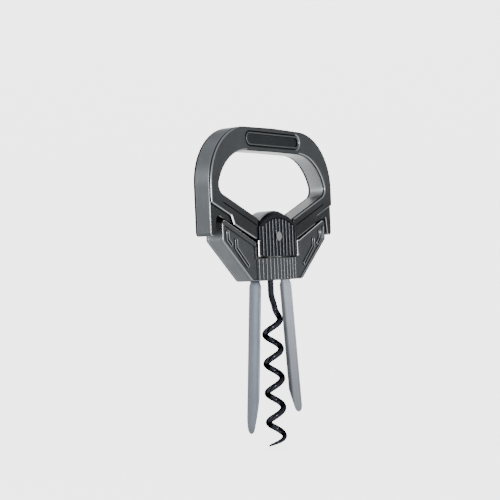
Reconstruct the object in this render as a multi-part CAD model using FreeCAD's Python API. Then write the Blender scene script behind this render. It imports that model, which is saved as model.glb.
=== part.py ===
import FreeCAD, Part
import math
import os

# Twin-prong corkscrew with a D-shaped pull handle. Millimetres, +Z up.
# The origin is on the worm's axis, in the flat underside of the prong housing: the face
# that comes down on the bottle's mouth. X runs across the handle, -Y is the front.

os.makedirs("parts", exist_ok=True)
Vector = FreeCAD.Vector

# ---- driving dimensions: handle ----
HANDLE_WIDTH = 103.9
HANDLE_TOP = 77.2
TOOL_HEIGHT = 162.1
BAR_HEIGHT = 12.0
LIMB_WIDTH = 5.2
TOP_CORNER_RADIUS = 29.0
OPENING_CORNER_RADIUS = 24.5
FRAME_DEPTH = 8.8
HANDLE_DEPTH = 11.2
VEE_ANGLE = 23.0
LEDGE_HEIGHT_AT_30 = 37.6
CHEVRON_HEIGHT_AT_30 = 26.0
CHEVRON_STEP_X = 36.2
CHEVRON_STEP_RISE = 4.1
ARM_TIP = 22.8
ARM_ROOT_WIDTH = 4.8
ARM_TIP_WIDTH = 3.6

# ---- driving dimensions: hub that carries the worm ----
HUB_HALF_WIDTH = 16.2
HUB_BOTTOM = 12.2
HUB_DEPTH = 13.4
HUB_ARCH_TOP = 34.0
HUB_ARCH_RADIUS = 22.7
HUB_CREST_TOP = 36.2
HUB_CREST_RADIUS = 20.5
CHEEK_WIDTH = 1.3
CHEEK_BACK = 5.65
CHEEK_FRONT = 6.65
CHEEK_TOP = 20.2
PAD_HALF_WIDTH = 14.5
PAD_ARCH_TOP = 31.3
PAD_ARCH_RADIUS = 25.0
PAD_RECESS = 1.2
RIB_PITCH = 2.85
RIB_WIDTH = 1.5
PAD_RIBS = 10

# ---- driving dimensions: worm ----
WORM_RADIUS = 5.5
WIRE_RADIUS = 1.55
WORM_PITCH = 15.05
WORM_PHASE = -53.0
WORM_PHASE_HEIGHT = -50.3
SHANK_TOP = 27.0
SHANK_END = -6.5
WORM_FULL_RADIUS_FROM = -15.5
WORM_TURNING_ENDS = -14.0
WORM_TURNING_FADES_FROM = -21.0
WORM_POINT_LENGTH = 7.0
WORM_POINT_TURN = 60.0
WORM_POINT_RADIUS = 0.45

# ---- driving dimensions: prong housing ----
BASE_HALF_WIDTH = 21.6
SHOULDER_HALF_WIDTH = 44.2
SHOULDER_LOW = 20.4
SHOULDER_TOP = 31.4
NOTCH_HALF_WIDTH = 16.5
NOTCH_FLOOR = 11.6
FLANGE_AT_NOTCH = 18.8
CORE_DEPTH = 7.2
HOUSING_DEPTH = 10.8
PANEL_RECESS = 0.7
CORE_WALL = 2.2
BOSS_HALF_WIDTH = 17.3
BOSS_DEPTH = 12.6
BOSS_EDGE_DEPTH = 10.0
BASE_RIBS = 12
RIB_HEIGHT = 0.35
GUIDE_BORE_RADIUS = 5.7
GUIDE_WALL = 0.3
GUIDE_RIM = 0.25

# ---- driving dimensions: prongs ----
PIVOT_X = 12.8
PIVOT_Z = 6.0
PIN_RADIUS = 1.0
LONG_SPLAY_ANGLE = 5.5
SHORT_SPLAY_ANGLE = 4.6
BLADE_WIDTH = 7.5
BLADE_THICKNESS = 1.0
BLADE_CURVE_RADIUS = 12.0
TANG_WIDTH = 6.0
LONG_TIP = -76.2
SHORT_TIP = -69.8
TAIL_REACH = 7.8
TAIL_RISE = 3.8
TAIL_KNOB_RADIUS = 1.0

# ---- clearances ----
NEST_GAP = 0.4
PIVOT_CLEARANCE = 0.05
COLLAR_CLEARANCE = 0.08

HALF_WIDTH = HANDLE_WIDTH / 2.0
OPENING_HALF_WIDTH = HALF_WIDTH - LIMB_WIDTH
OPENING_TOP = HANDLE_TOP - BAR_HEIGHT
WORM_TIP = HANDLE_TOP - TOOL_HEIGHT
VEE_SLOPE = math.tan(math.radians(VEE_ANGLE))
FLANGE_SLOPE = (SHOULDER_TOP - FLANGE_AT_NOTCH) / (SHOULDER_HALF_WIDTH - NOTCH_HALF_WIDTH)


# ---- helpers: outlines are drawn in the XZ plane and extruded along Y ----
def corner(before, here, after, radius):
    """The two tangent points and the middle point of a rounded corner."""
    to_before = (before - here).normalize()
    to_after = (after - here).normalize()
    half_angle = to_before.getAngle(to_after) / 2.0
    reach = radius / math.tan(half_angle)
    middle_way = (to_before + to_after).normalize()
    centre = here + middle_way * (radius / math.sin(half_angle))
    start = here + to_before * reach
    end = here + to_after * reach
    middle = centre - middle_way * radius
    return start, middle, end


def rounded_outline(points):
    """Closed wire through (x, z, corner radius) points."""
    corners = [Vector(x, 0, z) for x, z, radius in points]
    stops = []
    for index, (x, z, radius) in enumerate(points):
        here = corners[index]
        if radius == 0:
            stops.append((here, None, here))
            continue
        before = corners[index - 1] - Vector(0, 0, 0)
        after = corners[(index + 1) % len(corners)] - Vector(0, 0, 0)
        stops.append(corner(before, here, after, radius))
    edges = []
    for index, (start, middle, end) in enumerate(stops):
        if middle is not None:
            edges.append(Part.Arc(start, middle, end).toShape())
        next_start = stops[(index + 1) % len(stops)][0]
        if (next_start - end).Length > 1e-6:
            edges.append(Part.LineSegment(end, next_start).toShape())
    return Part.Wire(edges)


def prism(wire, low_y, high_y):
    """Solid between two Y levels with the wire's outline."""
    face = Part.Face(wire)
    face.translate(Vector(0, low_y, 0))
    return face.extrude(Vector(0, high_y - low_y, 0))


def mirrored_loop(right_half):
    """Closed symmetric outline from the points of its right half, bottom to top."""
    left_half = [(-x, z, radius) for x, z, radius in reversed(right_half) if x > 0]
    return right_half + left_half


def box(low, high):
    """Box between two corners."""
    size = Vector(*high) - Vector(*low)
    return Part.makeBox(size.x, size.y, size.z, Vector(*low))


def rod(radius, start, end):
    """Cylinder between two points."""
    axis = Vector(*end) - Vector(*start)
    return Part.makeCylinder(radius, axis.Length, Vector(*start), axis)


def bar(start, end, width, low_y, high_y):
    """Raised bar with round ends between two (x, z) points."""
    x0, z0 = start
    x1, z1 = end
    radius = width / 2.0
    along = Vector(x1 - x0, 0, z1 - z0)
    side = Vector(-along.z, 0, along.x).normalize() * radius
    corners = [Vector(x0, low_y, z0) + side, Vector(x1, low_y, z1) + side]
    corners += [Vector(x1, low_y, z1) - side, Vector(x0, low_y, z0) - side]
    strip = Part.Face(Part.makePolygon(corners + corners[:1])).extrude(Vector(0, high_y - low_y, 0))
    ends = [rod(radius, (x, low_y, z), (x, high_y, z)) for x, z in (start, end)]
    return strip.fuse(ends).removeSplitter()


def flip_x(shape):
    return shape.mirror(Vector(0, 0, 0), Vector(1, 0, 0))


def flip_y(shape):
    return shape.mirror(Vector(0, 0, 0), Vector(0, 1, 0))


def ledge_z(x):
    """Height of the V-shaped lower edge of the handle's opening."""
    return LEDGE_HEIGHT_AT_30 + VEE_SLOPE * (abs(x) - 30.0)


def chevron_z(x):
    """Height of the raised chevron's lower edge, inside its step."""
    return CHEVRON_HEIGHT_AT_30 + VEE_SLOPE * (abs(x) - 30.0)


def flange_z(x):
    """Height of the housing's V-shaped top edge."""
    return FLANGE_AT_NOTCH + FLANGE_SLOPE * (abs(x) - NOTCH_HALF_WIDTH)


def both_sides(positions):
    return [(sign * x, z) for sign in (-1, 1) for x, z in positions]


# ---- outlines shared by several pieces ----
TOP_CROWN_RADIUS = 500.0
TOP_SIDE_DROP = 1.1
LIMB_FOOT_RADIUS = 5.0
POCKET_X = SHOULDER_HALF_WIDTH + 0.8


def handle_side_points():
    """The outer edge of the handle from its limb up to the middle of the bar."""
    return [
        (HALF_WIDTH, HANDLE_TOP - TOP_SIDE_DROP, TOP_CORNER_RADIUS),
        (0, HANDLE_TOP + 0.05, TOP_CROWN_RADIUS),
    ]


def opening(low_y, high_y):
    """The finger opening: a round-shouldered window cut off by the two ledges of the V."""
    side = OPENING_HALF_WIDTH
    window = [(side, ledge_z(0), 0), (side, OPENING_TOP - 0.2, OPENING_CORNER_RADIUS),
              (0, OPENING_TOP, TOP_CROWN_RADIUS)]
    wedge = [(0, ledge_z(0), 0), (HANDLE_WIDTH, ledge_z(HANDLE_WIDTH), 0), (HANDLE_WIDTH, HANDLE_WIDTH, 0)]
    room = prism(rounded_outline(mirrored_loop(window)), low_y, high_y)
    room = room.common(prism(rounded_outline(mirrored_loop(wedge)), low_y, high_y))
    feet = [edge for edge in room.Edges if is_limb_foot(edge)]
    return room.makeFillet(LIMB_FOOT_RADIUS, feet)


def is_limb_foot(edge):
    """True for the edges along Y where the opening's limbs meet its ledges."""
    box_of_edge = edge.BoundBox
    upright = box_of_edge.YLength > 1 and box_of_edge.XLength < 0.01
    wide = abs(box_of_edge.XMin) > OPENING_HALF_WIDTH - 3.0
    return upright and wide and box_of_edge.ZMax < ledge_z(OPENING_HALF_WIDTH) + 0.5


def frame_wire():
    pocket_top = flange_z(POCKET_X) + NEST_GAP
    right_half = [
        (0, flange_z(0) + NEST_GAP, 0),
        (POCKET_X, pocket_top, 0.6),
        (HALF_WIDTH - ARM_ROOT_WIDTH, pocket_top, 0.6),
        (HALF_WIDTH - ARM_TIP_WIDTH, ARM_TIP, 1.6),
        (HALF_WIDTH, ARM_TIP, 1.6),
    ]
    return rounded_outline(mirrored_loop(right_half + handle_side_points()))


def plate_wire():
    step_foot = CHEVRON_STEP_X - 0.9
    step_head = CHEVRON_STEP_X + 0.9
    head_z = chevron_z(step_foot) + CHEVRON_STEP_RISE
    edge_z = head_z + VEE_SLOPE * (HALF_WIDTH - step_head)
    right_half = [
        (0, chevron_z(0), 0),
        (step_foot, chevron_z(step_foot), 0.6),
        (step_head, head_z, 0.6),
        (HALF_WIDTH, edge_z, 0.8),
    ]
    return rounded_outline(mirrored_loop(right_half + handle_side_points()))


def arch_wire(half_width, bottom, top, arch_radius):
    """Block outline with a flat foot, upright sides and an arched top."""
    shoulder = top - arch_radius + math.sqrt(arch_radius ** 2 - half_width ** 2)
    foot_left = Vector(-half_width, 0, bottom)
    foot_right = Vector(half_width, 0, bottom)
    right = Vector(half_width, 0, shoulder)
    left = Vector(-half_width, 0, shoulder)
    edges = [
        Part.LineSegment(foot_left, foot_right).toShape(),
        Part.LineSegment(foot_right, right).toShape(),
        Part.Arc(right, Vector(0, 0, top), left).toShape(),
        Part.LineSegment(left, foot_left).toShape(),
    ]
    return Part.Wire(edges)


def housing_wire(inset=0.0):
    """Hexagon-like housing outline with the hub's notch in its top."""
    right_half = [
        (BASE_HALF_WIDTH, 0, 4.0),
        (SHOULDER_HALF_WIDTH, SHOULDER_LOW, 1.5),
        (SHOULDER_HALF_WIDTH, SHOULDER_TOP, 1.8),
        (NOTCH_HALF_WIDTH, FLANGE_AT_NOTCH, 0.8),
        (NOTCH_HALF_WIDTH, NOTCH_FLOOR, 0),
    ]
    wire = rounded_outline(mirrored_loop(right_half))
    if inset == 0.0:
        return wire
    return Part.Face(wire).makeOffset2D(-inset).OuterWire


# ---- handle pieces ----
HANDLE_SCREWS = both_sides([(31.5, 69.9), (33.0, 31.2)])
SCREW_RADIUS = 0.9
SCREW_HEAD_RADIUS = 1.7
SCREW_HEAD_HEIGHT = 0.9
SCREW_FIT = 0.05
TENON_LENGTH = 5.6
TENON_DEPTH = 4.0
TENON_BOTTOM = 20.0
TENON_TOP = 28.0
PLATE_HALF_LENGTH = 23.0
NAME_PLATE_HEIGHT = 7.0
NAME_PLATE_Z = 71.0
NAME_PLATE_THICKNESS = 0.9
NAME_PLATE_FIT = 0.15


def hub_envelope():
    """Room for the hub through the whole depth of the handle."""
    return box((-HUB_HALF_WIDTH, -HUB_DEPTH, 0), (HUB_HALF_WIDTH, HUB_DEPTH, HUB_CREST_TOP))


def tenons(clearance=0.0):
    """Tongues at the inner ends of the handle's two V limbs, which key into the hub."""
    half = TENON_DEPTH / 2.0 + clearance
    reach = TENON_LENGTH + clearance
    right = box((HUB_HALF_WIDTH - reach, -half, TENON_BOTTOM - clearance),
                (HUB_HALF_WIDTH, half, TENON_TOP + clearance))
    return right.fuse(flip_x(right))


def handle_screw_holes(low_y, high_y, radius=SCREW_RADIUS + SCREW_FIT):
    return [rod(radius, (x, low_y, z), (x, high_y, z)) for x, z in HANDLE_SCREWS]


def stadium(half_length, height, centre_z, low_y, high_y):
    run = half_length - height / 2.0
    return bar((-run, centre_z), (run, centre_z), height, low_y, high_y)


def handle_frame():
    half = FRAME_DEPTH / 2.0
    frame = prism(frame_wire(), -half, half)
    frame = frame.cut(opening(-half - 1, half + 1))
    frame = frame.cut(hub_envelope())
    frame = frame.fuse(tenons()).removeSplitter()
    frame = frame.cut(dowel_rods(DOWEL_RADIUS, HUB_DEPTH))
    return frame.cut(handle_screw_holes(-half - 1, half + 1))


def handle_plate(wire):
    """Plate in front of the frame, with the window of the name plate."""
    outer = -HANDLE_DEPTH / 2.0
    inner = -FRAME_DEPTH / 2.0
    plate = prism(wire, outer, inner)
    plate = plate.cut(opening(outer - 1, inner + 1))
    plate = plate.cut(hub_envelope())
    window = stadium(PLATE_HALF_LENGTH, NAME_PLATE_HEIGHT, NAME_PLATE_Z, outer - 1, inner + 1)
    plate = plate.cut(window)
    return plate.cut(ledge_grooves())


def ledge_grooves():
    """Shallow groove under each ledge of the opening, parallel to it."""
    surface = -HANDLE_DEPTH / 2.0
    drop = 4.2
    start = (HUB_HALF_WIDTH + 1.2, ledge_z(HUB_HALF_WIDTH + 1.2) - drop)
    end = (43.0, ledge_z(43.0) - drop)
    right = bar(start, end, 0.7, surface - 1, surface + 0.45)
    return right.fuse(flip_x(right))


def back_handle_plate():
    """Back plate, which covers the arms too and has the screw heads let in."""
    plate = flip_y(handle_plate(frame_wire()))
    outer = HANDLE_DEPTH / 2.0
    plate = plate.cut(handle_screw_holes(0, outer + 1))
    return plate.cut(handle_screw_holes(outer - SCREW_HEAD_HEIGHT, outer + 1,
                                        SCREW_HEAD_RADIUS + SCREW_FIT))


def front_handle_plate():
    inner = -FRAME_DEPTH / 2.0
    return handle_plate(plate_wire()).cut(handle_screw_holes(inner - 0.8, inner + 1))


def screw(x, z, head_y, tip_y):
    """Countersunk screw driven from the back, with a cross slot in its head."""
    head_low = head_y - SCREW_HEAD_HEIGHT
    shank = rod(SCREW_RADIUS, (x, tip_y, z), (x, head_low, z))
    head = rod(SCREW_HEAD_RADIUS, (x, head_low, z), (x, head_y - 0.05, z))
    slot_length = 1.0
    slot_width = 0.25
    slots = [
        box((x - slot_length, head_y - 0.5, z - slot_width), (x + slot_length, head_y, z + slot_width)),
        box((x - slot_width, head_y - 0.5, z - slot_length), (x + slot_width, head_y, z + slot_length)),
    ]
    return shank.fuse(head).removeSplitter().cut(slots)


def handle_screws():
    tip = -FRAME_DEPTH / 2.0 - 0.75
    return Part.makeCompound([screw(x, z, HANDLE_DEPTH / 2.0, tip) for x, z in HANDLE_SCREWS])


def name_plate():
    """Blank name plate with a raised rim; it rests on the frame in the plate's window."""
    inner = -FRAME_DEPTH / 2.0
    outer = inner - NAME_PLATE_THICKNESS
    half_length = PLATE_HALF_LENGTH - NAME_PLATE_FIT
    height = NAME_PLATE_HEIGHT - 2 * NAME_PLATE_FIT
    rim = 0.7
    plate = stadium(half_length, height, NAME_PLATE_Z, outer, inner)
    field = stadium(half_length - rim, height - 2 * rim, NAME_PLATE_Z, outer - 1, outer + 0.35)
    return plate.cut(field)


# ---- hub pieces ----
COLLAR_TOP = 16.2
COLLAR_BOTTOM = 8.2
SPIGOT_RADIUS = GUIDE_BORE_RADIUS - COLLAR_CLEARANCE
COLLAR_RADIUS = 3.4
CROSS_PIN_RADIUS = 0.6
CROSS_PIN_Z = 21.5
CROSS_PIN_HALF_LENGTH = 4.5
DOWEL_RADIUS = 1.0
BADGE_RADIUS = 2.3
BADGE_Z = 22.3
DOWEL_X = 12.6
DOWEL_Z = 24.0
DOWEL_HALF_LENGTH = 5.05


def dowel_rods(radius, half_length):
    return [rod(radius, (sign * DOWEL_X, -half_length, DOWEL_Z), (sign * DOWEL_X, half_length, DOWEL_Z))
            for sign in (-1, 1)]


def pad_pocket():
    """Pocket for a grip pad in the hub's front face, open at its foot."""
    fit = 0.1
    face = -HUB_DEPTH / 2.0
    wire = arch_wire(PAD_HALF_WIDTH + fit, HUB_BOTTOM - 1, PAD_ARCH_TOP + fit, PAD_ARCH_RADIUS)
    return prism(wire, face - 1, face + PAD_RECESS)


def cheeks():
    """Upright beads on the hub's sides, in front of and behind the housing's covers."""
    low = (HUB_HALF_WIDTH - 0.4, -CHEEK_FRONT, HUB_BOTTOM)
    high = (HUB_HALF_WIDTH + CHEEK_WIDTH, -CHEEK_BACK, CHEEK_TOP)
    bead = box(low, high)
    pair = [bead, flip_x(bead)]
    return pair + [flip_y(shape) for shape in pair]


def hub_block():
    half = HUB_DEPTH / 2.0
    crest_half = FRAME_DEPTH / 2.0
    hub = prism(arch_wire(HUB_HALF_WIDTH, HUB_BOTTOM, HUB_ARCH_TOP, HUB_ARCH_RADIUS), -half, half)
    crest = prism(arch_wire(14.0, 20.0, HUB_CREST_TOP, HUB_CREST_RADIUS), -crest_half, crest_half)
    hub = hub.fuse([crest] + cheeks()).removeSplitter()
    hub = hub.cut(tenons(clearance=0.05))
    hub = hub.cut([pad_pocket(), flip_y(pad_pocket())])
    hub = hub.cut(rod(COLLAR_RADIUS, (0, 0, HUB_BOTTOM - 1), (0, 0, COLLAR_TOP)))
    hub = hub.cut(rod(WIRE_RADIUS, (0, 0, COLLAR_TOP - 1), (0, 0, SHANK_TOP)))
    pin_end = (0, CROSS_PIN_HALF_LENGTH, CROSS_PIN_Z)
    hub = hub.cut(rod(CROSS_PIN_RADIUS, (0, -HUB_DEPTH, CROSS_PIN_Z), pin_end))
    return hub.cut(dowel_rods(DOWEL_RADIUS, HUB_DEPTH))


def grip_pad():
    """Ribbed thumb pad in the hub's front face."""
    face = -HUB_DEPTH / 2.0
    floor = face + PAD_RECESS
    base_top = floor - 0.5
    wire = arch_wire(PAD_HALF_WIDTH, HUB_BOTTOM, PAD_ARCH_TOP, PAD_ARCH_RADIUS)
    base = prism(wire, base_top, floor)
    outline = prism(wire, face + 0.1, floor)
    first = -(PAD_RIBS - 1) / 2.0 * RIB_PITCH
    for index in range(PAD_RIBS):
        x = first + index * RIB_PITCH
        strip = box((x - RIB_WIDTH / 2, face + 0.1, HUB_BOTTOM), (x + RIB_WIDTH / 2, floor, HANDLE_TOP))
        base = base.fuse(strip.common(outline))
    return base.removeSplitter()


def pad_badge():
    """Plain round badge let into the front grip pad."""
    face = -HUB_DEPTH / 2.0
    disc = rod(BADGE_RADIUS, (0, face, BADGE_Z), (0, face + PAD_RECESS - 0.5, BADGE_Z))
    return disc.makeChamfer(0.25, [disc.Edges[0]])


def front_grip_pad():
    seat = (0, PAD_RECESS - 0.5 - HUB_DEPTH / 2.0, BADGE_Z)
    return grip_pad().cut(rod(BADGE_RADIUS, (0, -HUB_DEPTH, BADGE_Z), seat))


def worm_collar():
    """Collar pressed into the hub; its wide spigot centres the worm in the guide."""
    spigot = rod(SPIGOT_RADIUS, (0, 0, COLLAR_BOTTOM), (0, 0, HUB_BOTTOM))
    ring = spigot.fuse(rod(COLLAR_RADIUS, (0, 0, HUB_BOTTOM), (0, 0, COLLAR_TOP))).removeSplitter()
    return ring.cut(rod(WIRE_RADIUS, (0, 0, COLLAR_BOTTOM - 1), (0, 0, COLLAR_TOP + 1)))


def cross_pin():
    length = CROSS_PIN_HALF_LENGTH
    return rod(CROSS_PIN_RADIUS, (0, -length, CROSS_PIN_Z), (0, length, CROSS_PIN_Z))


def worm_point(z):
    """Centre of the worm's wire at a height: on the axis above, on the helix below."""
    rate = 360.0 / WORM_PITCH
    fade_length = WORM_TURNING_ENDS - WORM_TURNING_FADES_FROM
    fade = min(max(z - WORM_TURNING_FADES_FROM, 0.0), fade_length)
    straight = max(z - WORM_TURNING_ENDS, 0.0)
    into_point = max(WORM_TIP + WORM_POINT_LENGTH - z, 0.0) / WORM_POINT_LENGTH
    angle = WORM_PHASE + rate * (z - WORM_PHASE_HEIGHT)
    angle -= rate * (fade ** 2 / (2.0 * fade_length) + straight)
    angle -= WORM_POINT_TURN * into_point ** 2
    entry = SHANK_END - WORM_FULL_RADIUS_FROM
    share = min(max((SHANK_END - z) / entry, 0.0), 1.0)
    radius = (WORM_RADIUS - WIRE_RADIUS) * share * share * (3.0 - 2.0 * share)
    turned = math.radians(angle)
    return Vector(radius * math.cos(turned), radius * math.sin(turned), z)


def worm_path(high_z, low_z, steps_per_turn=20):
    steps = max(4, int(round((high_z - low_z) / WORM_PITCH * steps_per_turn)))
    points = [worm_point(high_z + (low_z - high_z) * step / steps) for step in range(steps + 1)]
    curve = Part.BSplineCurve()
    curve.interpolate(points)
    return curve


def disc_wire(centre, normal, radius):
    return Part.Wire(Part.Circle(centre, normal, radius).toShape())


def worm():
    body_end = WORM_TIP + WORM_POINT_LENGTH
    shank = rod(WIRE_RADIUS, (0, 0, SHANK_END), (0, 0, SHANK_TOP))
    path = worm_path(SHANK_END, body_end)
    start_normal = path.tangent(path.FirstParameter)[0]
    end_normal = path.tangent(path.LastParameter)[0]
    ring = disc_wire(path.value(path.FirstParameter), start_normal, WIRE_RADIUS)
    coil = Part.Wire(path.toShape()).makePipeShell([ring], True, False)
    last = worm_path(body_end, WORM_TIP)
    big = disc_wire(last.value(last.FirstParameter), end_normal, WIRE_RADIUS)
    path_end = last.value(last.LastParameter)
    small = disc_wire(path_end, last.tangent(last.LastParameter)[0], WORM_POINT_RADIUS)
    point = Part.Wire(last.toShape()).makePipeShell([big, small], True, False)
    whole = shank.fuse([coil, point]).removeSplitter()
    return whole.cut(rod(CROSS_PIN_RADIUS, (0, -5, CROSS_PIN_Z), (0, 5, CROSS_PIN_Z)))


# ---- housing pieces ----
HOUSING_SCREWS = both_sides([(36.6, 22.4), (27.4, 15.6), (19.3, 2.9)])
PIN_HALF_LENGTH = 5.2
SLOT_LOW_X = PIVOT_X - 1.5
SLOT_HIGH_X = PIVOT_X + 2.0
CEILING = 10.0
NOTCH_WALL_X = 18.95
STOP_X = 22.6
STOP_GAP = 0.05
SPRING_SEAT_Z = 4.9
CAVITY_END = 24.6
CATCH_Z = (12.6, 16.6)
CATCH_HALF_DEPTH = 2.0


def tail_end():
    return PIVOT_X + TAIL_REACH, PIVOT_Z + TAIL_RISE


def housing_screw_holes(low_y, high_y, radius=SCREW_RADIUS + SCREW_FIT):
    return [rod(radius, (x, low_y, z), (x, high_y, z)) for x, z in HOUSING_SCREWS]


def guide_hole():
    return rod(GUIDE_BORE_RADIUS + GUIDE_WALL, (0, 0, -1), (0, 0, NOTCH_FLOOR + 1))


def lever_cavity(half):
    """Room for the right prong's lever inside the core."""
    room = prism(housing_wire(CORE_WALL), -half, half)
    room = room.cut(box((-60, -20, -5), (SLOT_LOW_X - 1.4, 20, 40)))
    room = room.cut(box((-60, -20, CEILING), (NOTCH_WALL_X, 20, 40)))
    tail_x, tail_z = tail_end()
    stop_low = tail_z + TAIL_KNOB_RADIUS + STOP_GAP
    room = room.cut(box((0, -20, stop_low), (STOP_X, 20, stop_low + 2.2)))
    room = room.cut(box((tail_x - 1.9, -20, 0), (tail_x + 1.9, 20, SPRING_SEAT_Z)))
    room = room.cut(box((CAVITY_END, -20, -5), (60, 20, 40)))
    room = room.cut([rod(SCREW_RADIUS + 1.0, (x, -20, z), (x, 20, z)) for x, z in HOUSING_SCREWS])
    return max(room.Solids, key=lambda solid: solid.Volume)


def catch_pocket():
    """Pocket for a friction spring in the notch's right wall."""
    low, high = CATCH_Z
    return box((NOTCH_HALF_WIDTH - 1, -CATCH_HALF_DEPTH - 0.1, low - 0.1),
               (NOTCH_HALF_WIDTH + 0.9, CATCH_HALF_DEPTH + 0.1, high + 0.1))


def core_block():
    """Right-hand block between the covers: it holds the prong lever and its spring."""
    half = CORE_DEPTH / 2.0
    core = prism(housing_wire(), -half, half).common(box((0, -half, 0), (60, half, 60)))
    cavity = lever_cavity(half + 1)
    slot_half = TANG_WIDTH / 2 + 0.4
    slot = box((SLOT_LOW_X, -slot_half, -1), (SLOT_HIGH_X, slot_half, CORE_WALL + 0.5))
    core = core.cut([cavity, slot, catch_pocket(), guide_hole()])
    return core.cut(housing_screw_holes(-half - 1, half + 1))


RELIEF_WIDTH = 2.4


def relief_bars(low_y, high_y):
    """Two L-shaped raised bars on each side of the cover's panel."""
    runs = [
        ((39.9, 24.6), (39.9, 21.0)),
        ((39.9, 21.0), (37.4, 18.6)),
        ((33.4, 20.4), (33.4, 16.8)),
        ((33.4, 16.8), (24.6, 8.1)),
    ]
    shapes = [bar(start, end, RELIEF_WIDTH, low_y, high_y) for start, end in runs]
    return shapes + [flip_x(shape) for shape in shapes]


def panel_wire():
    """Sunk field of the cover between its rims."""
    rim = 1.2
    flange = 2.7
    slope = (SHOULDER_HALF_WIDTH - BASE_HALF_WIDTH) / SHOULDER_LOW
    low_x = BASE_HALF_WIDTH - rim - 0.2
    points = [
        (BOSS_HALF_WIDTH, rim, 0.3),
        (low_x, rim, 0.8),
        (low_x + slope * (SHOULDER_LOW - rim), SHOULDER_LOW + 0.2, 0.6),
        (SHOULDER_HALF_WIDTH - rim, flange_z(SHOULDER_HALF_WIDTH - rim) - flange, 0.6),
        (NOTCH_HALF_WIDTH + 1.9, flange_z(NOTCH_HALF_WIDTH + 1.9) - flange, 0.5),
        (BOSS_HALF_WIDTH, flange_z(BOSS_HALF_WIDTH) - flange - 2.0, 0.3),
    ]
    return rounded_outline(points)


def boss_front(x):
    """Depth coordinate of the crowned boss's front face."""
    crown = (BOSS_DEPTH - BOSS_EDGE_DEPTH) / 2.0
    radius = (BOSS_HALF_WIDTH ** 2 + crown ** 2) / (2.0 * crown)
    return radius - BOSS_DEPTH / 2.0 - math.sqrt(radius ** 2 - x ** 2)


def boss(low_y):
    """Crowned boss at the foot of the cover, round the guide of the worm."""
    left = Vector(-BOSS_HALF_WIDTH, boss_front(BOSS_HALF_WIDTH), 0)
    right = Vector(BOSS_HALF_WIDTH, boss_front(BOSS_HALF_WIDTH), 0)
    back_right = Vector(BOSS_HALF_WIDTH, low_y, 0)
    back_left = Vector(-BOSS_HALF_WIDTH, low_y, 0)
    edges = [
        Part.Arc(left, Vector(0, boss_front(0), 0), right).toShape(),
        Part.LineSegment(right, back_right).toShape(),
        Part.LineSegment(back_right, back_left).toShape(),
        Part.LineSegment(back_left, left).toShape(),
    ]
    return Part.Face(Part.Wire(edges)).extrude(Vector(0, 0, NOTCH_FLOOR))


def base_ribs():
    """Upright ribs across the foot of the cover, in line with those of the grip pad."""
    first = -(BASE_RIBS - 1) / 2.0 * RIB_PITCH
    ribs = []
    for index in range(BASE_RIBS):
        x = first + index * RIB_PITCH
        surface = boss_front(x)
        ribs.append(box((x - RIB_WIDTH / 2, surface - RIB_HEIGHT, 0.4),
                        (x + RIB_WIDTH / 2, surface + 0.4, NOTCH_FLOOR - 0.3)))
    return ribs


def housing_cover():
    """Front cover of the housing; the back cover is its mirror image with screw heads let in."""
    outer = -HOUSING_DEPTH / 2.0
    inner = -CORE_DEPTH / 2.0
    panel = outer + PANEL_RECESS
    cover = prism(housing_wire(), outer, inner)
    field = prism(panel_wire(), outer - 1, panel)
    cover = cover.cut([field, flip_x(field)])
    bars = relief_bars(outer + 0.1, panel + 0.1)
    cover = cover.fuse(bars + [boss(inner)] + base_ribs()).removeSplitter()
    pins = [rod(PIN_RADIUS, (sign * PIVOT_X, -PIN_HALF_LENGTH, PIVOT_Z), (sign * PIVOT_X, 0, PIVOT_Z))
            for sign in (-1, 1)]
    return cover.cut([guide_hole()] + pins)


def front_housing_cover():
    inner = -CORE_DEPTH / 2.0
    return housing_cover().cut(housing_screw_holes(inner - 0.8, inner + 1))


def back_housing_cover():
    cover = flip_y(housing_cover())
    outer = HOUSING_DEPTH / 2.0
    cover = cover.cut(housing_screw_holes(0, outer + 2))
    return cover.cut(housing_screw_holes(outer - SCREW_HEAD_HEIGHT, outer + 2,
                                         SCREW_HEAD_RADIUS + SCREW_FIT))


def housing_screws():
    tip = -CORE_DEPTH / 2.0 - 0.75
    return Part.makeCompound([screw(x, z, HOUSING_DEPTH / 2.0, tip) for x, z in HOUSING_SCREWS])


def guide_bush():
    """Sleeve that guides the worm, with a flange on which the hub comes to rest."""
    outside = GUIDE_BORE_RADIUS + GUIDE_WALL
    sleeve = rod(outside, (0, 0, 0.3), (0, 0, NOTCH_FLOOR))
    flange = rod(outside + GUIDE_RIM, (0, 0, NOTCH_FLOOR), (0, 0, HUB_BOTTOM - 0.02))
    bush = sleeve.fuse(flange).removeSplitter()
    return bush.cut(rod(GUIDE_BORE_RADIUS, (0, 0, -1), (0, 0, HUB_BOTTOM + 1)))


def catch_spring():
    """Bowed leaf spring that grips the hub's right side with light friction."""
    low, high = CATCH_Z
    thickness = 0.3
    back = NOTCH_HALF_WIDTH + 0.85
    crown = HUB_HALF_WIDTH + 0.05 + thickness
    foot = Vector(back, 0, low)
    head = Vector(back, 0, high)
    middle = Vector(crown, 0, (low + high) / 2.0)
    outer_arc = Part.Arc(foot, middle, head).toShape()
    shift = Vector(-thickness, 0, 0)
    inner_arc = Part.Arc(head + shift, middle + shift, foot + shift).toShape()
    edges = [outer_arc, Part.LineSegment(head, head + shift).toShape()]
    edges += [inner_arc, Part.LineSegment(foot + shift, foot).toShape()]
    return prism(Part.Wire(edges), -CATCH_HALF_DEPTH, CATCH_HALF_DEPTH)


def hinge_pin():
    length = PIN_HALF_LENGTH - 0.05
    return rod(PIN_RADIUS, (PIVOT_X, -length, PIVOT_Z), (PIVOT_X, length, PIVOT_Z))


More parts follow.
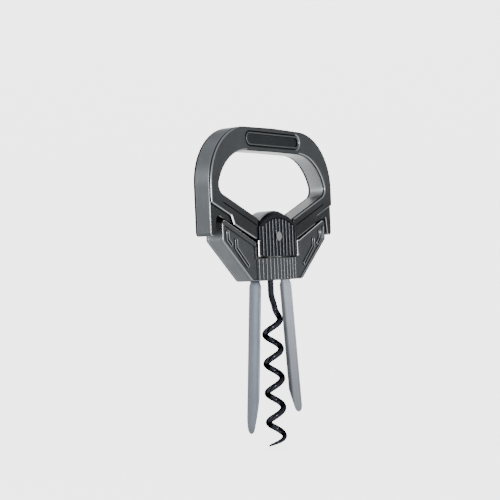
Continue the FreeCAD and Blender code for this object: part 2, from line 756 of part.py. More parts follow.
def return_spring():
    """Coil spring under the lever's tail; it swings the prong outwards against its stop."""
    tail_x, tail_z = tail_end()
    wire_radius = 0.22
    coil_radius = 1.0
    low = SPRING_SEAT_Z + wire_radius + 0.02
    high = tail_z - TAIL_KNOB_RADIUS - wire_radius - 0.47
    turns = 4.0
    helix = Part.makeHelix((high - low) / turns, high - low, coil_radius)
    ring = disc_wire(Vector(coil_radius, 0, 0), Vector(0, 1, 0), wire_radius)
    spring = Part.Wire(helix.Edges).makePipeShell([ring], True, True)
    spring.translate(Vector(tail_x, 0, low))
    return spring


# ---- prong pieces ----
EYE_RADIUS = 2.6
EYE_BORE_RADIUS = 1.8
FLARE_TOP = -6.8
FLARE_END = -9.2


def blade_outline(tip, points_below):
    """Blade's outline in the YZ plane, pivot at the origin, tang at the top."""
    tang = TANG_WIDTH / 2.0
    half = BLADE_WIDTH / 2.0
    front = [(-tang, -1.5, 0), (-tang, FLARE_TOP, 1.5), (-half, FLARE_END, 1.5)]
    back = [(half, FLARE_END, 1.5), (tang, FLARE_TOP, 1.5), (tang, -1.5, 0)]
    wire = rounded_outline(front + points_below + back)
    wire.rotate(Vector(0, 0, 0), Vector(0, 0, 1), 90)
    return Part.Face(wire)


def prong(tip, splay, points_below):
    """Right-hand prong: curved blade, pivot eye and lever tail, drawn upright and then splayed."""
    centre_x = BLADE_THICKNESS / 2.0 - BLADE_CURVE_RADIUS
    outer = rod(BLADE_CURVE_RADIUS, (centre_x, 0, tip - 2), (centre_x, 0, 0))
    inner = rod(BLADE_CURVE_RADIUS - BLADE_THICKNESS, (centre_x, 0, tip - 3), (centre_x, 0, 1))
    outline = blade_outline(tip, points_below)
    outline.translate(Vector(-3, 0, 0))
    blade = outer.cut(inner).common(outline.extrude(Vector(6, 0, 0)))
    half = TANG_WIDTH / 2.0
    blade.rotate(Vector(0, 0, 0), Vector(0, 1, 0), -splay)
    eye = rod(EYE_RADIUS, (0, -half, 0), (0, half, 0))
    tail = bar((0, 0), (TAIL_REACH, TAIL_RISE), 1.5, -half, half)
    knob = rod(TAIL_KNOB_RADIUS, (TAIL_REACH, -half, TAIL_RISE), (TAIL_REACH, half, TAIL_RISE))
    lever = blade.fuse([eye, tail, knob]).removeSplitter()
    lever = lever.cut(rod(EYE_BORE_RADIUS, (0, -half - 1, 0), (0, half + 1, 0)))
    lever.translate(Vector(PIVOT_X, 0, PIVOT_Z))
    return lever


def long_prong():
    """Longer prong: its front edge tapers to a rounded tongue."""
    tip = (LONG_TIP - PIVOT_Z) / math.cos(math.radians(LONG_SPLAY_ANGLE))
    half = BLADE_WIDTH / 2.0
    points = [(-half, tip + 18.5, 8.0), (-0.9, tip, 1.7), (3.1, tip, 1.7), (half, tip + 8.0, 8.0)]
    return prong(tip, LONG_SPLAY_ANGLE, points)


def short_prong():
    """Shorter prong: its back edge is cut to a slant."""
    tip = (SHORT_TIP - PIVOT_Z) / math.cos(math.radians(SHORT_SPLAY_ANGLE))
    half = BLADE_WIDTH / 2.0
    points = [(-half, tip + 3.5, 2.0), (-2.6, tip, 0.9), (-0.6, tip, 1.2), (half, tip + 11.0, 3.0)]
    return prong(tip, SHORT_SPLAY_ANGLE, points)


def pivot_bush():
    half = TANG_WIDTH / 2.0
    ring = rod(EYE_BORE_RADIUS, (PIVOT_X, -half, PIVOT_Z), (PIVOT_X, half, PIVOT_Z))
    hole = rod(PIN_RADIUS + PIVOT_CLEARANCE, (PIVOT_X, -half - 1, PIVOT_Z), (PIVOT_X, half + 1, PIVOT_Z))
    return ring.cut(hole)


# ---- write every piece ----
def write(name, shape):
    solids = shape.Solids
    result = solids[0] if len(solids) == 1 else Part.makeCompound(solids)
    print(f"{name}: {len(solids)} solid(s), volume {result.Volume:.1f}, valid {result.isValid()}")
    result.exportStep(f"parts/{name}.step")


pieces = {
    "handle_frame": handle_frame(),
    "handle_front_plate": front_handle_plate(),
    "handle_back_plate": back_handle_plate(),
    "handle_screws": handle_screws(),
    "front_name_plate": name_plate(),
    "back_name_plate": flip_y(name_plate()),
    "hub_block": hub_block(),
    "hub_dowels": Part.makeCompound(dowel_rods(DOWEL_RADIUS, DOWEL_HALF_LENGTH)),
    "front_grip_pad": front_grip_pad(),
    "pad_badge": pad_badge(),
    "back_grip_pad": flip_y(grip_pad()),
    "worm": worm(),
    "worm_cross_pin": cross_pin(),
    "worm_collar": worm_collar(),
    "left_core_block": flip_x(core_block()),
    "right_core_block": core_block(),
    "housing_front_cover": front_housing_cover(),
    "housing_back_cover": back_housing_cover(),
    "housing_screws": housing_screws(),
    "guide_bush": guide_bush(),
    "left_catch_spring": flip_x(catch_spring()),
    "right_catch_spring": catch_spring(),
    "left_hinge_pin": flip_x(hinge_pin()),
    "right_hinge_pin": hinge_pin(),
    "left_return_spring": flip_x(return_spring()),
    "right_return_spring": return_spring(),
    "left_prong": flip_x(long_prong()),
    "left_pivot_bush": flip_x(pivot_bush()),
    "right_prong": short_prong(),
    "right_pivot_bush": pivot_bush(),
}
for name, shape in pieces.items():
    write(name, shape)
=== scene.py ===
import math
import bmesh
import bpy
from mathutils import Matrix, Vector


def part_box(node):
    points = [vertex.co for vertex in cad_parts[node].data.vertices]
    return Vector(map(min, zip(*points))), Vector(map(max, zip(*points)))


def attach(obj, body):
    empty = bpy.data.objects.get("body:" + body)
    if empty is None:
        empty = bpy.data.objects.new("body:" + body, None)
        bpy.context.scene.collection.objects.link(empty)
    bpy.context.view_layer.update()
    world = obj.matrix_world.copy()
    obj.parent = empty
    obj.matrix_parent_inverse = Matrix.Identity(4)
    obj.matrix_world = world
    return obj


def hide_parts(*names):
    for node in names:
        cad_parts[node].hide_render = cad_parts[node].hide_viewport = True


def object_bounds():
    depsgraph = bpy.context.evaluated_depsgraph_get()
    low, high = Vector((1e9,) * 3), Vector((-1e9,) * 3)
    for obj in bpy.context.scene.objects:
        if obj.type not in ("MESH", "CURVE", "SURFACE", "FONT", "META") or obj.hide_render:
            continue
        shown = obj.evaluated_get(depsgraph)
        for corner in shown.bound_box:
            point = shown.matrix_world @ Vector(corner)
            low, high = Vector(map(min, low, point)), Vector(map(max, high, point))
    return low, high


# Looks of the pronged corkscrew. Sizes below are in millimetres in the CAD frame:
# X across the handle, -Y the front, +Z up. Meshes are made in metres.

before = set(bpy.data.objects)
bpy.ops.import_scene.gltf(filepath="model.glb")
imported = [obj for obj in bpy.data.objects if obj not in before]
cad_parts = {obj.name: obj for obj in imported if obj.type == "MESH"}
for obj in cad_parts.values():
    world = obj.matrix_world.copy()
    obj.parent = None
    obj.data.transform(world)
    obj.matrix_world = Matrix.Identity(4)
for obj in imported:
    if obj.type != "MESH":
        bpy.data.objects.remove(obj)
cad_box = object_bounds()
MM = 0.001


def node_box(node):
    """Lowest and highest corner of a CAD node in millimetres."""
    low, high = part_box(node)
    return low / MM, high / MM


# ---- sizes read from the frame ----
frame_high = node_box("handle_frame")[1]
plate_low = node_box("handle_front_plate")[0]
name_low, name_high = node_box("front_name_plate")
hub_low, hub_high = node_box("hub_block")
pad_high = node_box("front_grip_pad")[1]
cover_high = node_box("housing_front_cover")[1]
core_high = node_box("right_core_block")[1]

HALF_WIDTH = frame_high.x
HANDLE_TOP = frame_high.z
FRAME_HALF = frame_high.y
PLATE_FRONT = -plate_low.y
NAME_HALF = name_high.x
NAME_HEIGHT = name_high.z - name_low.z
NAME_MIDDLE = (name_low.z + name_high.z) / 2.0
CHEEK_WIDTH = 1.3  # the hub's box takes in the beads on its sides
HUB_HALF = hub_high.x - CHEEK_WIDTH
HUB_BOTTOM = hub_low.z
HUB_FRONT = hub_high.y
CREST_TOP = hub_high.z
PAD_HALF = pad_high.x
PAD_TOP = pad_high.z
SHOULDER = cover_high.x
CORE_HALF = core_high.y

# ---- shape of the handle; the ledge's and the chevron's heights are those at VEE_AT ----
VEE_SLOPE = math.tan(math.radians(23.0))
VEE_AT = 30.0
LEDGE_HEIGHT = 37.6
CHEVRON_HEIGHT = 26.0
CHEVRON_STEP_X = 36.2
CHEVRON_STEP_RISE = 4.1
STEP_HALF = 0.9
BAR_HEIGHT = 12.0
BAR_SAG = 0.2
LIMB_WIDTH = 5.2
LIMB_FOOT = 5.0
ARM_TIP = 22.8
ARM_ROOT_WIDTH = 4.8
ARM_TIP_WIDTH = 3.6
TOP_CORNER = 29.0
OPENING_CORNER = 24.5
SIDE_DROP = 1.1
OPENING_HALF = HALF_WIDTH - LIMB_WIDTH
OPENING_TOP = HANDLE_TOP - BAR_HEIGHT
FRAME_UNDER_HUB = 4.0
PLATE_UNDER_HUB = 0.8
BAND_EDGE = 0.5
PLATE_EDGE = 0.95
PLATE_SEAT = 0.75

# ---- what is cut into the handle and the housing ----
CUT_PAST = 1.0
SHADOW_DEPTH = 2.2
SHADOW_UNDER_HUB = 8.0
SHADOW_END = 1.6
SHADOW_OVERCUT = 3.0
SHADOW_RISE = 0.4
GROOVE_WIDTH = 0.55
GROOVE_DEPTH = 0.5
GROOVE_DROP = 4.2
GROOVE_START = HUB_HALF + 1.2
GROOVE_END = 43.0
HANDLE_SCREWS = [(31.5, 69.9), (33.0, 31.2)]
HOUSING_SCREWS = [(36.6, 22.4), (27.4, 15.6), (19.3, 2.9)]
SCREW_RECESS = 1.75
SCREW_DEPTH = 0.9

# ---- name plate and its window ----
NAME_RIM = 1.0
NAME_RIM_EDGE = 0.45
NAME_FIELD_INSET = 0.4
NAME_FIELD_LIFT = 0.5
NAME_STANDOUT = 0.1
WINDOW_END_GAP = 0.25
WINDOW_SIDE_GAP = 0.2
WINDOW_MARGIN = 1.2
WINDOW_GLINT_X = 19.0

# ---- where the edges shine or stay dull ----
HUB_MARGIN = 1.0
STEP_GLINT_OUT = 1.2
STEP_GLINT_IN = 1.6
STEP_GLINT_RISE = 0.6
FLANGE_GLINT = 1.2
PANEL_EDGE_MARGIN = 0.9
BOSS_MARGIN = 2.6
FOOT_GLINT = 1.2

# ---- shape of the hub ----
HUB_ARCH_TOP = 34.0
HUB_ARCH_RADIUS = 22.7
HUB_RIM_EDGE = 0.75
HUB_FOOT = 1.0
CREST_HALF = 14.0
CREST_FOOT = 20.0
CREST_RADIUS = 20.5
CREST_EDGE = 0.7
CREST_DROP = 0.8
CHEEK_ROOT = 0.4
CHEEK_BACK = 5.65
CHEEK_FRONT = 6.65
CHEEK_TOP = 20.2
CHEEK_EDGE = 0.55
PAD_ARCH_RADIUS = 25.0
PAD_GAP = 0.1
PAD_RECESS = 1.2
PAD_BASE = 0.5
PAD_RIBS = 10
PAD_RIB_EDGE = 0.5
RIB_PITCH = 2.85
RIB_WIDTH = 1.25
RIB_TOP_GAP = 0.15
RIB_FOOT_GAP = 0.1
RIB_SET_BACK = 0.08

# ---- shape of the housing ----
BASE_HALF = 21.6
SHOULDER_LOW = 20.4
SHOULDER_TOP = 31.4
NOTCH_HALF = 16.5
NOTCH_FLOOR = 11.6
FLANGE_AT_NOTCH = 18.8
FLANGE_SLOPE = (SHOULDER_TOP - FLANGE_AT_NOTCH) / (SHOULDER - NOTCH_HALF)
FLANGE_WIDTH = 2.7
HOUSING_FRONT = 5.4
COVER_EDGE = 0.55
COVER_SEAT = 0.3
PANEL_RIM = 1.0
PANEL_SLANT = 0.2
PANEL_NOTCH_RIM = 1.9
PANEL_NOTCH_DROP = 0.8
PANEL_RECESS = 0.7
RELIEF_PATHS = [
    [(39.9, 24.6), (39.9, 21.0), (37.4, 18.6)],
    [(33.4, 20.4), (33.4, 16.8), (24.6, 8.1)],
]
RELIEF_WIDTH = 2.4
RELIEF_RIM = 0.7
RELIEF_EDGE = RELIEF_RIM / 2 - 0.02
RELIEF_SET_BACK = 0.05
BOSS_HALF = 17.3
BOSS_MIDDLE = 6.3
BOSS_SIDE = 5.0
BOSS_EDGE = 0.4
BOSS_GAP = 0.05
BOSS_STEPS = 48
BASE_RIBS = 12
BASE_RIB_EDGE = 0.4
BASE_RIB_FOOT = 0.5
BASE_RIB_HEAD_GAP = 0.4
RIB_HEIGHT = 0.35
NEST_GAP = 0.4
POCKET_X = SHOULDER + 0.8
ROOT_DEPTH = 0.6

# ---- shape of the prongs ----
PIVOT_X = 12.8
PIVOT_Z = 6.0
LONG_SPLAY = math.radians(5.5)
SHORT_SPLAY = math.radians(4.6)
LONG_TIP = -76.2
SHORT_TIP = -69.8
BLADE_WIDTH = 7.5
BLADE_THICKNESS = 1.0
BLADE_CURVE = 12.0
BLADE_START = 1.0
LONG_FRONT_RUN = 19.0
LONG_BACK_RUN = 9.0
LONG_TIP_FRONT = 0.9
LONG_TIP_CUT = 1.7
SHORT_FRONT_RUN = 4.0
SHORT_BACK_RUN = 12.0
SHORT_TIP_CUT = 1.2
SHORT_TIP_BACK = 0.6
FLARE_START = 6.6
FLARE_LENGTH = 2.2
TIP_RADIUS = 1.6
TIP_RUN = 5.0
THINNING_RUN = 3.0
TIP_THICKNESS = 0.35
NARROWEST = 0.02
TANG_WIDTH = 6.0
EYE_RADIUS = 2.6
EYE_BORE = 1.8
TAIL_ROOT = (2.2, 1.07)
TAIL_END = (7.8, 3.8)
TAIL_WIDTH = 1.5
LEVER_EDGE = 0.15
BODY_STEPS = 90
TIP_STEPS = 24
ACROSS_STEPS = 14
EDGE_STEPS = 5

# ---- fineness of outlines and meshes ----
ARC_STEP = math.radians(3.0)
FINE_EDGE = 0.2
FINEST_EDGE = 0.1
STRAIGHT = math.radians(89.9)
SHARPEST_BEND = 0.5
WELD = 1e-6
SMOOTH_ANGLE = math.radians(38.0)


# ---- outlines: lists of (x, z) points ----
def arc(centre, radius, start, end):
    """Points of an arc between two angles, both ends included."""
    steps = max(2, int(math.ceil(abs(end - start) / ARC_STEP)))
    angles = [start + (end - start) * step / steps for step in range(steps + 1)]
    return [(centre[0] + radius * math.cos(a), centre[1] + radius * math.sin(a)) for a in angles]


def round_corner(before, here, after, radius):
    """Points that round one corner of an outline."""
    here_v = Vector(here)
    to_before = (Vector(before) - here_v).normalized()
    to_after = (Vector(after) - here_v).normalized()
    half = to_before.angle(to_after) / 2.0
    if radius == 0 or half > STRAIGHT:
        return [here]
    centre = here_v + (to_before + to_after).normalized() * (radius / math.sin(half))
    reach = radius / math.tan(half)
    first = here_v + to_before * reach - centre
    last = here_v + to_after * reach - centre
    start = math.atan2(first.y, first.x)
    sweep = math.atan2(last.y, last.x) - start
    sweep = (sweep + math.pi) % (2 * math.pi) - math.pi
    return arc(centre, radius, start, start + sweep)


def rounded(points):
    """Open outline through (x, z, corner radius) points; its two ends stay as they are."""
    outline = [points[0][:2]]
    for before, (x, z, radius), after in zip(points, points[1:], points[2:]):
        outline += round_corner(before[:2], (x, z), after[:2], radius)
    outline.append(points[-1][:2])
    return outline


def mirrored(half):
    """Closed outline from its right half, listed from bottom to top."""
    return half + [(-x, z) for x, z in reversed(half) if x > 0]


def ledge_z(x):
    """Height of the ledge under the finger opening."""
    return LEDGE_HEIGHT + VEE_SLOPE * (abs(x) - VEE_AT)


def chevron_z(x):
    """Height of the front plate's lower edge between the hub and the step."""
    return CHEVRON_HEIGHT + VEE_SLOPE * (abs(x) - VEE_AT)


def flange_z(x):
    """Height of the housing's sloping top edge."""
    return FLANGE_AT_NOTCH + FLANGE_SLOPE * (abs(x) - NOTCH_HALF)


def opening_half(inner_x):
    """Right half of the finger opening, from the hub's side round to the middle of the bar."""
    centre = Vector((OPENING_HALF - OPENING_CORNER, OPENING_TOP - BAR_SAG - OPENING_CORNER))
    along = Vector((math.cos(math.atan(VEE_SLOPE)), math.sin(math.atan(VEE_SLOPE))))
    off = Vector((-along.y, along.x)) * LIMB_FOOT
    start = Vector((VEE_AT, LEDGE_HEIGHT)) + off - centre
    reach = OPENING_CORNER - LIMB_FOOT
    dot = start.dot(along)
    travel = -dot + math.sqrt(dot * dot - start.length_squared + reach * reach)
    foot = centre + start + along * travel
    foot_start = math.atan2(-off.y, -off.x)
    foot_end = math.atan2(foot.y - centre.y, foot.x - centre.x)
    points = [(inner_x, ledge_z(inner_x))]
    points += arc(foot, LIMB_FOOT, foot_start, foot_end)
    points += arc(centre, OPENING_CORNER, foot_end, math.pi / 2)[1:]
    points.append((0.0, OPENING_TOP))
    return points


def handle_side():
    """Corner points of the handle's outside from the limb to the middle of the bar."""
    return [(HALF_WIDTH, HANDLE_TOP - SIDE_DROP, TOP_CORNER), (0.0, HANDLE_TOP, 0)]


def ring_outline(bottom, inner_x):
    """D-shaped ring, open behind the hub: bottom holds its lower corner points from the hub out."""
    outside = rounded(bottom + handle_side())
    left_outside = [(-x, z) for x, z in reversed(outside[:-1])]
    inside = opening_half(inner_x)
    left_inside = [(-x, z) for x, z in inside[:-1]]
    return outside + left_outside + left_inside + list(reversed(inside))


def frame_outline():
    """Whole handle, with the arms that straddle the housing."""
    pocket_top = flange_z(POCKET_X) + NEST_GAP
    inner_x = HUB_HALF - FRAME_UNDER_HUB
    bottom = [
        (inner_x, flange_z(inner_x) + NEST_GAP, 0),
        (POCKET_X, pocket_top, 0.6),
        (HALF_WIDTH - ARM_ROOT_WIDTH, pocket_top, 0.9),
        (HALF_WIDTH - ARM_TIP_WIDTH, ARM_TIP, 1.6),
        (HALF_WIDTH, ARM_TIP, 1.6),
    ]
    return ring_outline(bottom, inner_x)


def plate_outline():
    """Front face plate, whose lower edge is the stepped chevron."""
    step_foot = CHEVRON_STEP_X - STEP_HALF
    step_head = CHEVRON_STEP_X + STEP_HALF
    head_z = chevron_z(step_foot) + CHEVRON_STEP_RISE
    edge_z = head_z + VEE_SLOPE * (HALF_WIDTH - step_head)
    inner_x = HUB_HALF - PLATE_UNDER_HUB
    bottom = [
        (inner_x, chevron_z(inner_x), 0),
        (step_foot, chevron_z(step_foot), 0.9),
        (step_head, head_z, 0.9),
        (HALF_WIDTH, edge_z, 1.0),
    ]
    return ring_outline(bottom, inner_x)


def arch_outline(half_width, bottom, top, arch_radius):
    """Flat foot, upright sides and an arched top."""
    reach = math.asin(half_width / arch_radius)
    top_arc = arc((0.0, top - arch_radius), arch_radius, math.pi / 2 - reach, math.pi / 2 + reach)
    return [(-half_width, bottom), (half_width, bottom)] + top_arc


def arch_height(x, top, arch_radius):
    """Height of an arch above a point of its foot."""
    return top - arch_radius + math.sqrt(arch_radius ** 2 - x ** 2)


def stadium(half_length, height, centre_z):
    """Long rounded slot or plate outline."""
    radius = height / 2.0
    run = half_length - radius
    right = arc((run, centre_z), radius, -math.pi / 2, math.pi / 2)
    left = arc((-run, centre_z), radius, math.pi / 2, 3 * math.pi / 2)
    return right + left


def band_outline(path, width):
    """Outline of a band with round ends that follows a path of (x, z) points."""
    radius = width / 2.0
    points = [Vector(point) for point in path]
    left_side, right_side = [], []
    for index, point in enumerate(points):
        back = (point - points[index - 1]).normalized() if index > 0 else None
        ahead = (points[index + 1] - point).normalized() if index < len(points) - 1 else None
        way = ((back or ahead) + (ahead or back)).normalized()
        stretch = 1.0 / max(SHARPEST_BEND, way.dot(ahead or back))
        side = Vector((-way.y, way.x)) * radius * stretch
        left_side.append(tuple(point + side))
        right_side.append(tuple(point - side))
    first_way = (points[1] - points[0]).normalized()
    last_way = (points[-1] - points[-2]).normalized()
    first_angle = math.atan2(first_way.y, first_way.x)
    last_angle = math.atan2(last_way.y, last_way.x)
    start_cap = arc(points[0], radius, first_angle + math.pi / 2, first_angle + 3 * math.pi / 2)
    end_cap = arc(points[-1], radius, last_angle - math.pi / 2, last_angle + math.pi / 2)
    return start_cap + right_side[1:-1] + end_cap + list(reversed(left_side[1:-1]))


def housing_half():
    """Right half of the housing's outline, from the middle of its foot to the notch."""
    points = [
        (0.0, 0.0, 0),
        (BASE_HALF, 0.0, 4.0),
        (SHOULDER, SHOULDER_LOW, 1.8),
        (SHOULDER, SHOULDER_TOP, 1.8),
        (NOTCH_HALF, FLANGE_AT_NOTCH, 0.8),
        (NOTCH_HALF, NOTCH_FLOOR, 0),
    ]
    return rounded(points)


def panel_outline():
    """Sunk field between the cover's rims."""
    slope = (SHOULDER - BASE_HALF) / SHOULDER_LOW
    foot_x = BASE_HALF - PANEL_RIM - PANEL_SLANT
    bend_x = foot_x + slope * (SHOULDER_LOW - PANEL_RIM)
    far_x = SHOULDER - PANEL_RIM
    near_x = NOTCH_HALF + PANEL_NOTCH_RIM
    top_z = NOTCH_FLOOR - PANEL_NOTCH_DROP
    points = [
        (0.0, PANEL_RIM, 0),
        (foot_x, PANEL_RIM, 0.8),
        (bend_x, SHOULDER_LOW + PANEL_SLANT, 1.2),
        (far_x, flange_z(far_x) - FLANGE_WIDTH, 0.9),
        (near_x, flange_z(near_x) - FLANGE_WIDTH, 1.0),
        (near_x, top_z, 0),
        (0.0, top_z, 0),
    ]
    return mirrored(rounded(points))


def box_loop(low_x, low_z, high_x, high_z):
    """Upright rectangle."""
    return [(low_x, low_z), (high_x, low_z), (high_x, high_z), (low_x, high_z)]


def circle(centre, radius):
    """Full circle, its last point left off."""
    return arc(centre, radius, 0, 2 * math.pi)[:-1]


def both_sides(loop):
    """An outline and its mirror image."""
    return [loop, [(-x, z) for x, z in reversed(loop)]]


# ---- solids from outlines ----
FRONT_TO_FRAME = Matrix.Rotation(math.pi / 2, 4, "X")


def extruded(loops, low_y, high_y, edge, segments=3):
    """Mesh in metres between two Y levels, with rounded edges; further loops are holes."""
    curve = bpy.data.curves.new("outline", "CURVE")
    curve.dimensions = "2D"
    curve.fill_mode = "BOTH"
    curve.bevel_depth = edge * MM
    curve.bevel_resolution = segments
    curve.offset = -edge * MM
    curve.extrude = ((high_y - low_y) / 2.0 - edge) * MM
    for loop in loops:
        spline = curve.splines.new("POLY")
        spline.points.add(len(loop) - 1)
        for point, (x, z) in zip(spline.points, loop):
            point.co = (x * MM, z * MM, 0.0, 1.0)
        spline.use_cyclic_u = True
    holder = bpy.data.objects.new("outline", curve)
    bpy.context.scene.collection.objects.link(holder)
    bpy.context.view_layer.update()
    mesh = bpy.data.meshes.new_from_object(holder.evaluated_get(bpy.context.evaluated_depsgraph_get()))
    bpy.data.objects.remove(holder)
    bpy.data.curves.remove(curve)
    middle = (low_y + high_y) / 2.0
    mesh.transform(Matrix.Translation((0, middle * MM, 0)) @ FRONT_TO_FRAME)
    return mesh


def joined(meshes):
    """One bmesh that holds several meshes, welded."""
    whole = bmesh.new()
    for mesh in meshes:
        whole.from_mesh(mesh)
        bpy.data.meshes.remove(mesh)
    bmesh.ops.remove_doubles(whole, verts=whole.verts, dist=WELD)
    bmesh.ops.dissolve_degenerate(whole, edges=whole.edges, dist=WELD)
    return whole


def cutter(loop, low_y, high_y):
    """Sharp-edged shape to cut with, between two Y levels."""
    return joined([extruded([loop], low_y, high_y, 0)])


def lofted(sections):
    """Closed skin through rings of points in millimetres; all rings have as many points."""
    shape = bmesh.new()
    rings = [[shape.verts.new(Vector(point) * MM) for point in section] for section in sections]
    for near, far in zip(rings, rings[1:]):
        for index in range(len(near)):
            after = (index + 1) % len(near)
            shape.faces.new((near[index], far[index], far[after], near[after]))
    shape.faces.new(rings[0])
    shape.faces.new(list(reversed(rings[-1])))
    bmesh.ops.recalc_face_normals(shape, faces=shape.faces)
    return shape


def flip_y(shape):
    """Mirror a bmesh front to back."""
    bmesh.ops.scale(shape, vec=(1, -1, 1), verts=shape.verts)
    bmesh.ops.reverse_faces(shape, faces=shape.faces)
    return shape


def flip_x(shape):
    """Mirror a bmesh left to right."""
    bmesh.ops.scale(shape, vec=(-1, 1, 1), verts=shape.verts)
    bmesh.ops.reverse_faces(shape, faces=shape.faces)
    return shape


# ---- material slots and the directions that pick them ----
SLOT_COUNT = 7
FACE, EDGE, SIDE, DIM_EDGE, INSIDE, GROOVE, ACCENT = range(SLOT_COUNT)
SIDE_TILT = 0.12
FACE_TILT = 0.985
SEAM_TILT = 0.4
LEFT_TILT = 0.12
DOWN_TILT = 0.3


def edge_slot(normal):
    """Rounded edges that face left or down get a painted highlight, the others stay dim."""
    return EDGE if normal.x < -LEFT_TILT or normal.z < -DOWN_TILT else DIM_EDGE


def mark_faces(shape, plain=None, inside=None, bevel=None):
    """Material slots by direction: front and back faces, rounded edges, and sides; the look tables put
    lighter and darker copies of a metal in these slots as painted light and shade.

    The plain and inside tests get the middle of a face (x, z in millimetres): plain says
    which rounded edges look like the faces, and inside picks the inner walls. A bevel rule
    picks the slot of a rounded edge from its middle and direction, in place of edge_slot.
    """
    shape.normal_update()
    for face in shape.faces:
        normal = face.normal
        middle = face.calc_center_median() / MM
        if abs(normal.y) <= SIDE_TILT:
            face.material_index = INSIDE if inside and inside(middle.x, middle.z) else SIDE
        elif abs(normal.y) < FACE_TILT and not (plain and plain(middle.x, middle.z)):
            face.material_index = bevel(middle.x, middle.z, normal) if bevel else edge_slot(normal)
    return shape


def always(slot):
    """Bevel rule that puts every rounded edge in one slot."""
    return lambda x, z, normal: slot


def merged(shapes):
    """One bmesh that holds several, which keep their material slots."""
    whole = shapes[0]
    for shape in shapes[1:]:
        carrier = bpy.data.meshes.new("carrier")
        shape.to_mesh(carrier)
        shape.free()
        whole.from_mesh(carrier)
        bpy.data.meshes.remove(carrier)
    return whole


def carved(shape, cutters, cut_slot):
    """Cut closed shapes out of a bmesh; the cut walls take one material slot."""
    objects = []
    for bm in [shape] + cutters:
        if bm is not shape:
            for face in bm.faces:
                face.material_index = cut_slot
        mesh = bpy.data.meshes.new("part")
        bm.to_mesh(mesh)
        bm.free()
        for _ in range(SLOT_COUNT):
            mesh.materials.append(None)
        part = bpy.data.objects.new("part", mesh)
        bpy.context.scene.collection.objects.link(part)
        objects.append(part)
    for tool in objects[1:]:
        cut = objects[0].modifiers.new("cut", "BOOLEAN")
        cut.operation = "DIFFERENCE"
        cut.solver = "EXACT"
        cut.object = tool
    bpy.context.view_layer.update()
    result = bmesh.new()
    evaluated = objects[0].evaluated_get(bpy.context.evaluated_depsgraph_get())
    result.from_mesh(evaluated.to_mesh())
    evaluated.to_mesh_clear()
    for part in objects:
        mesh = part.data
        bpy.data.objects.remove(part)
        bpy.data.meshes.remove(mesh)
    return result


def make_piece(name, shape, body, nodes, materials):
    """Turn a bmesh into a piece that rides on a body and stands for CAD nodes."""
    mesh = bpy.data.meshes.new(name)
    shape.to_mesh(mesh)
    shape.free()
    mesh.shade_smooth()
    mesh.set_sharp_from_angle(angle=SMOOTH_ANGLE)
    for material in materials:
        mesh.materials.append(material)
    piece = bpy.data.objects.new(name, mesh)
    bpy.context.scene.collection.objects.link(piece)
    weighted = piece.modifiers.new("face_normals", "WEIGHTED_NORMAL")
    weighted.keep_sharp = True
    weighted.weight = 100
    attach(piece, body)
    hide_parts(*nodes)
    return piece


# ---- materials; noise scales are per metre and bump depths in metres ----
NOISE_ROUGHNESS = 0.55
GRAIN_DEPTH = 0.00005
LINE_DEPTH = 0.00004


def new_material(name):
    """Empty procedural material: the material, its nodes, its links and its shader."""
    material = bpy.data.materials.new(name)
    material.use_nodes = True
    nodes = material.node_tree.nodes
    return material, nodes, material.node_tree.links, nodes["Principled BSDF"]


def noise(nodes, links, scale, detail, stretch=(1, 1, 1)):
    """Noise over the piece's own coordinates, in metres, stretched along an axis if asked."""
    coords = nodes.new("ShaderNodeTexCoord")
    mapping = nodes.new("ShaderNodeMapping")
    mapping.inputs["Scale"].default_value = stretch
    links.new(coords.outputs["Object"], mapping.inputs["Vector"])
    texture = nodes.new("ShaderNodeTexNoise")
    texture.inputs["Scale"].default_value = scale
    texture.inputs["Detail"].default_value = detail
    texture.inputs["Roughness"].default_value = NOISE_ROUGHNESS
    links.new(mapping.outputs["Vector"], texture.inputs["Vector"])
    return texture.outputs["Fac"]


def cloudy(nodes, links, clouds, dark, light, light_from=0.7):
    """Tone that wanders between two colours with a noise."""
    node = nodes.new("ShaderNodeValToRGB")
    places = (0.3, light_from)
    for element, position, colour in zip(node.color_ramp.elements, places, (dark, light)):
        element.position = position
        element.color = (*colour, 1.0)
    links.new(clouds, node.inputs["Fac"])
    return node.outputs["Color"]


def value_range(nodes, links, factor, low, high):
    """Factor from 0 to 1 turned into a value from low to high."""
    node = nodes.new("ShaderNodeMapRange")
    node.inputs["To Min"].default_value = low
    node.inputs["To Max"].default_value = high
    links.new(factor, node.inputs["Value"])
    return node.outputs["Result"]


def add_bump(nodes, links, shader, height, strength, depth):
    """Fine bump that breaks up the gloss."""
    bump = nodes.new("ShaderNodeBump")
    bump.inputs["Strength"].default_value = strength
    bump.inputs["Distance"].default_value = depth
    links.new(height, bump.inputs["Height"])
    links.new(bump.outputs["Normal"], shader.inputs["Normal"])


def shade(colour, factor):
    """Colour made lighter or darker."""
    return tuple(channel * factor for channel in colour)


def faded(nodes, links, tone, axis, least_at, full_at, share):
    """Tone that falls along an axis from the full one to a share of it; places in millimetres."""
    coords = nodes.new("ShaderNodeTexCoord")
    split = nodes.new("ShaderNodeSeparateXYZ")
    links.new(coords.outputs["Object"], split.inputs["Vector"])
    fade = nodes.new("ShaderNodeMapRange")
    fade.inputs["From Min"].default_value = least_at * MM
    fade.inputs["From Max"].default_value = full_at * MM
    fade.inputs["To Min"].default_value = share
    links.new(split.outputs[axis], fade.inputs["Value"])
    scaled = nodes.new("ShaderNodeVectorMath")
    scaled.operation = "SCALE"
    links.new(tone, scaled.inputs[0])
    links.new(fade.outputs["Result"], scaled.inputs["Scale"])
    return scaled.outputs["Vector"]


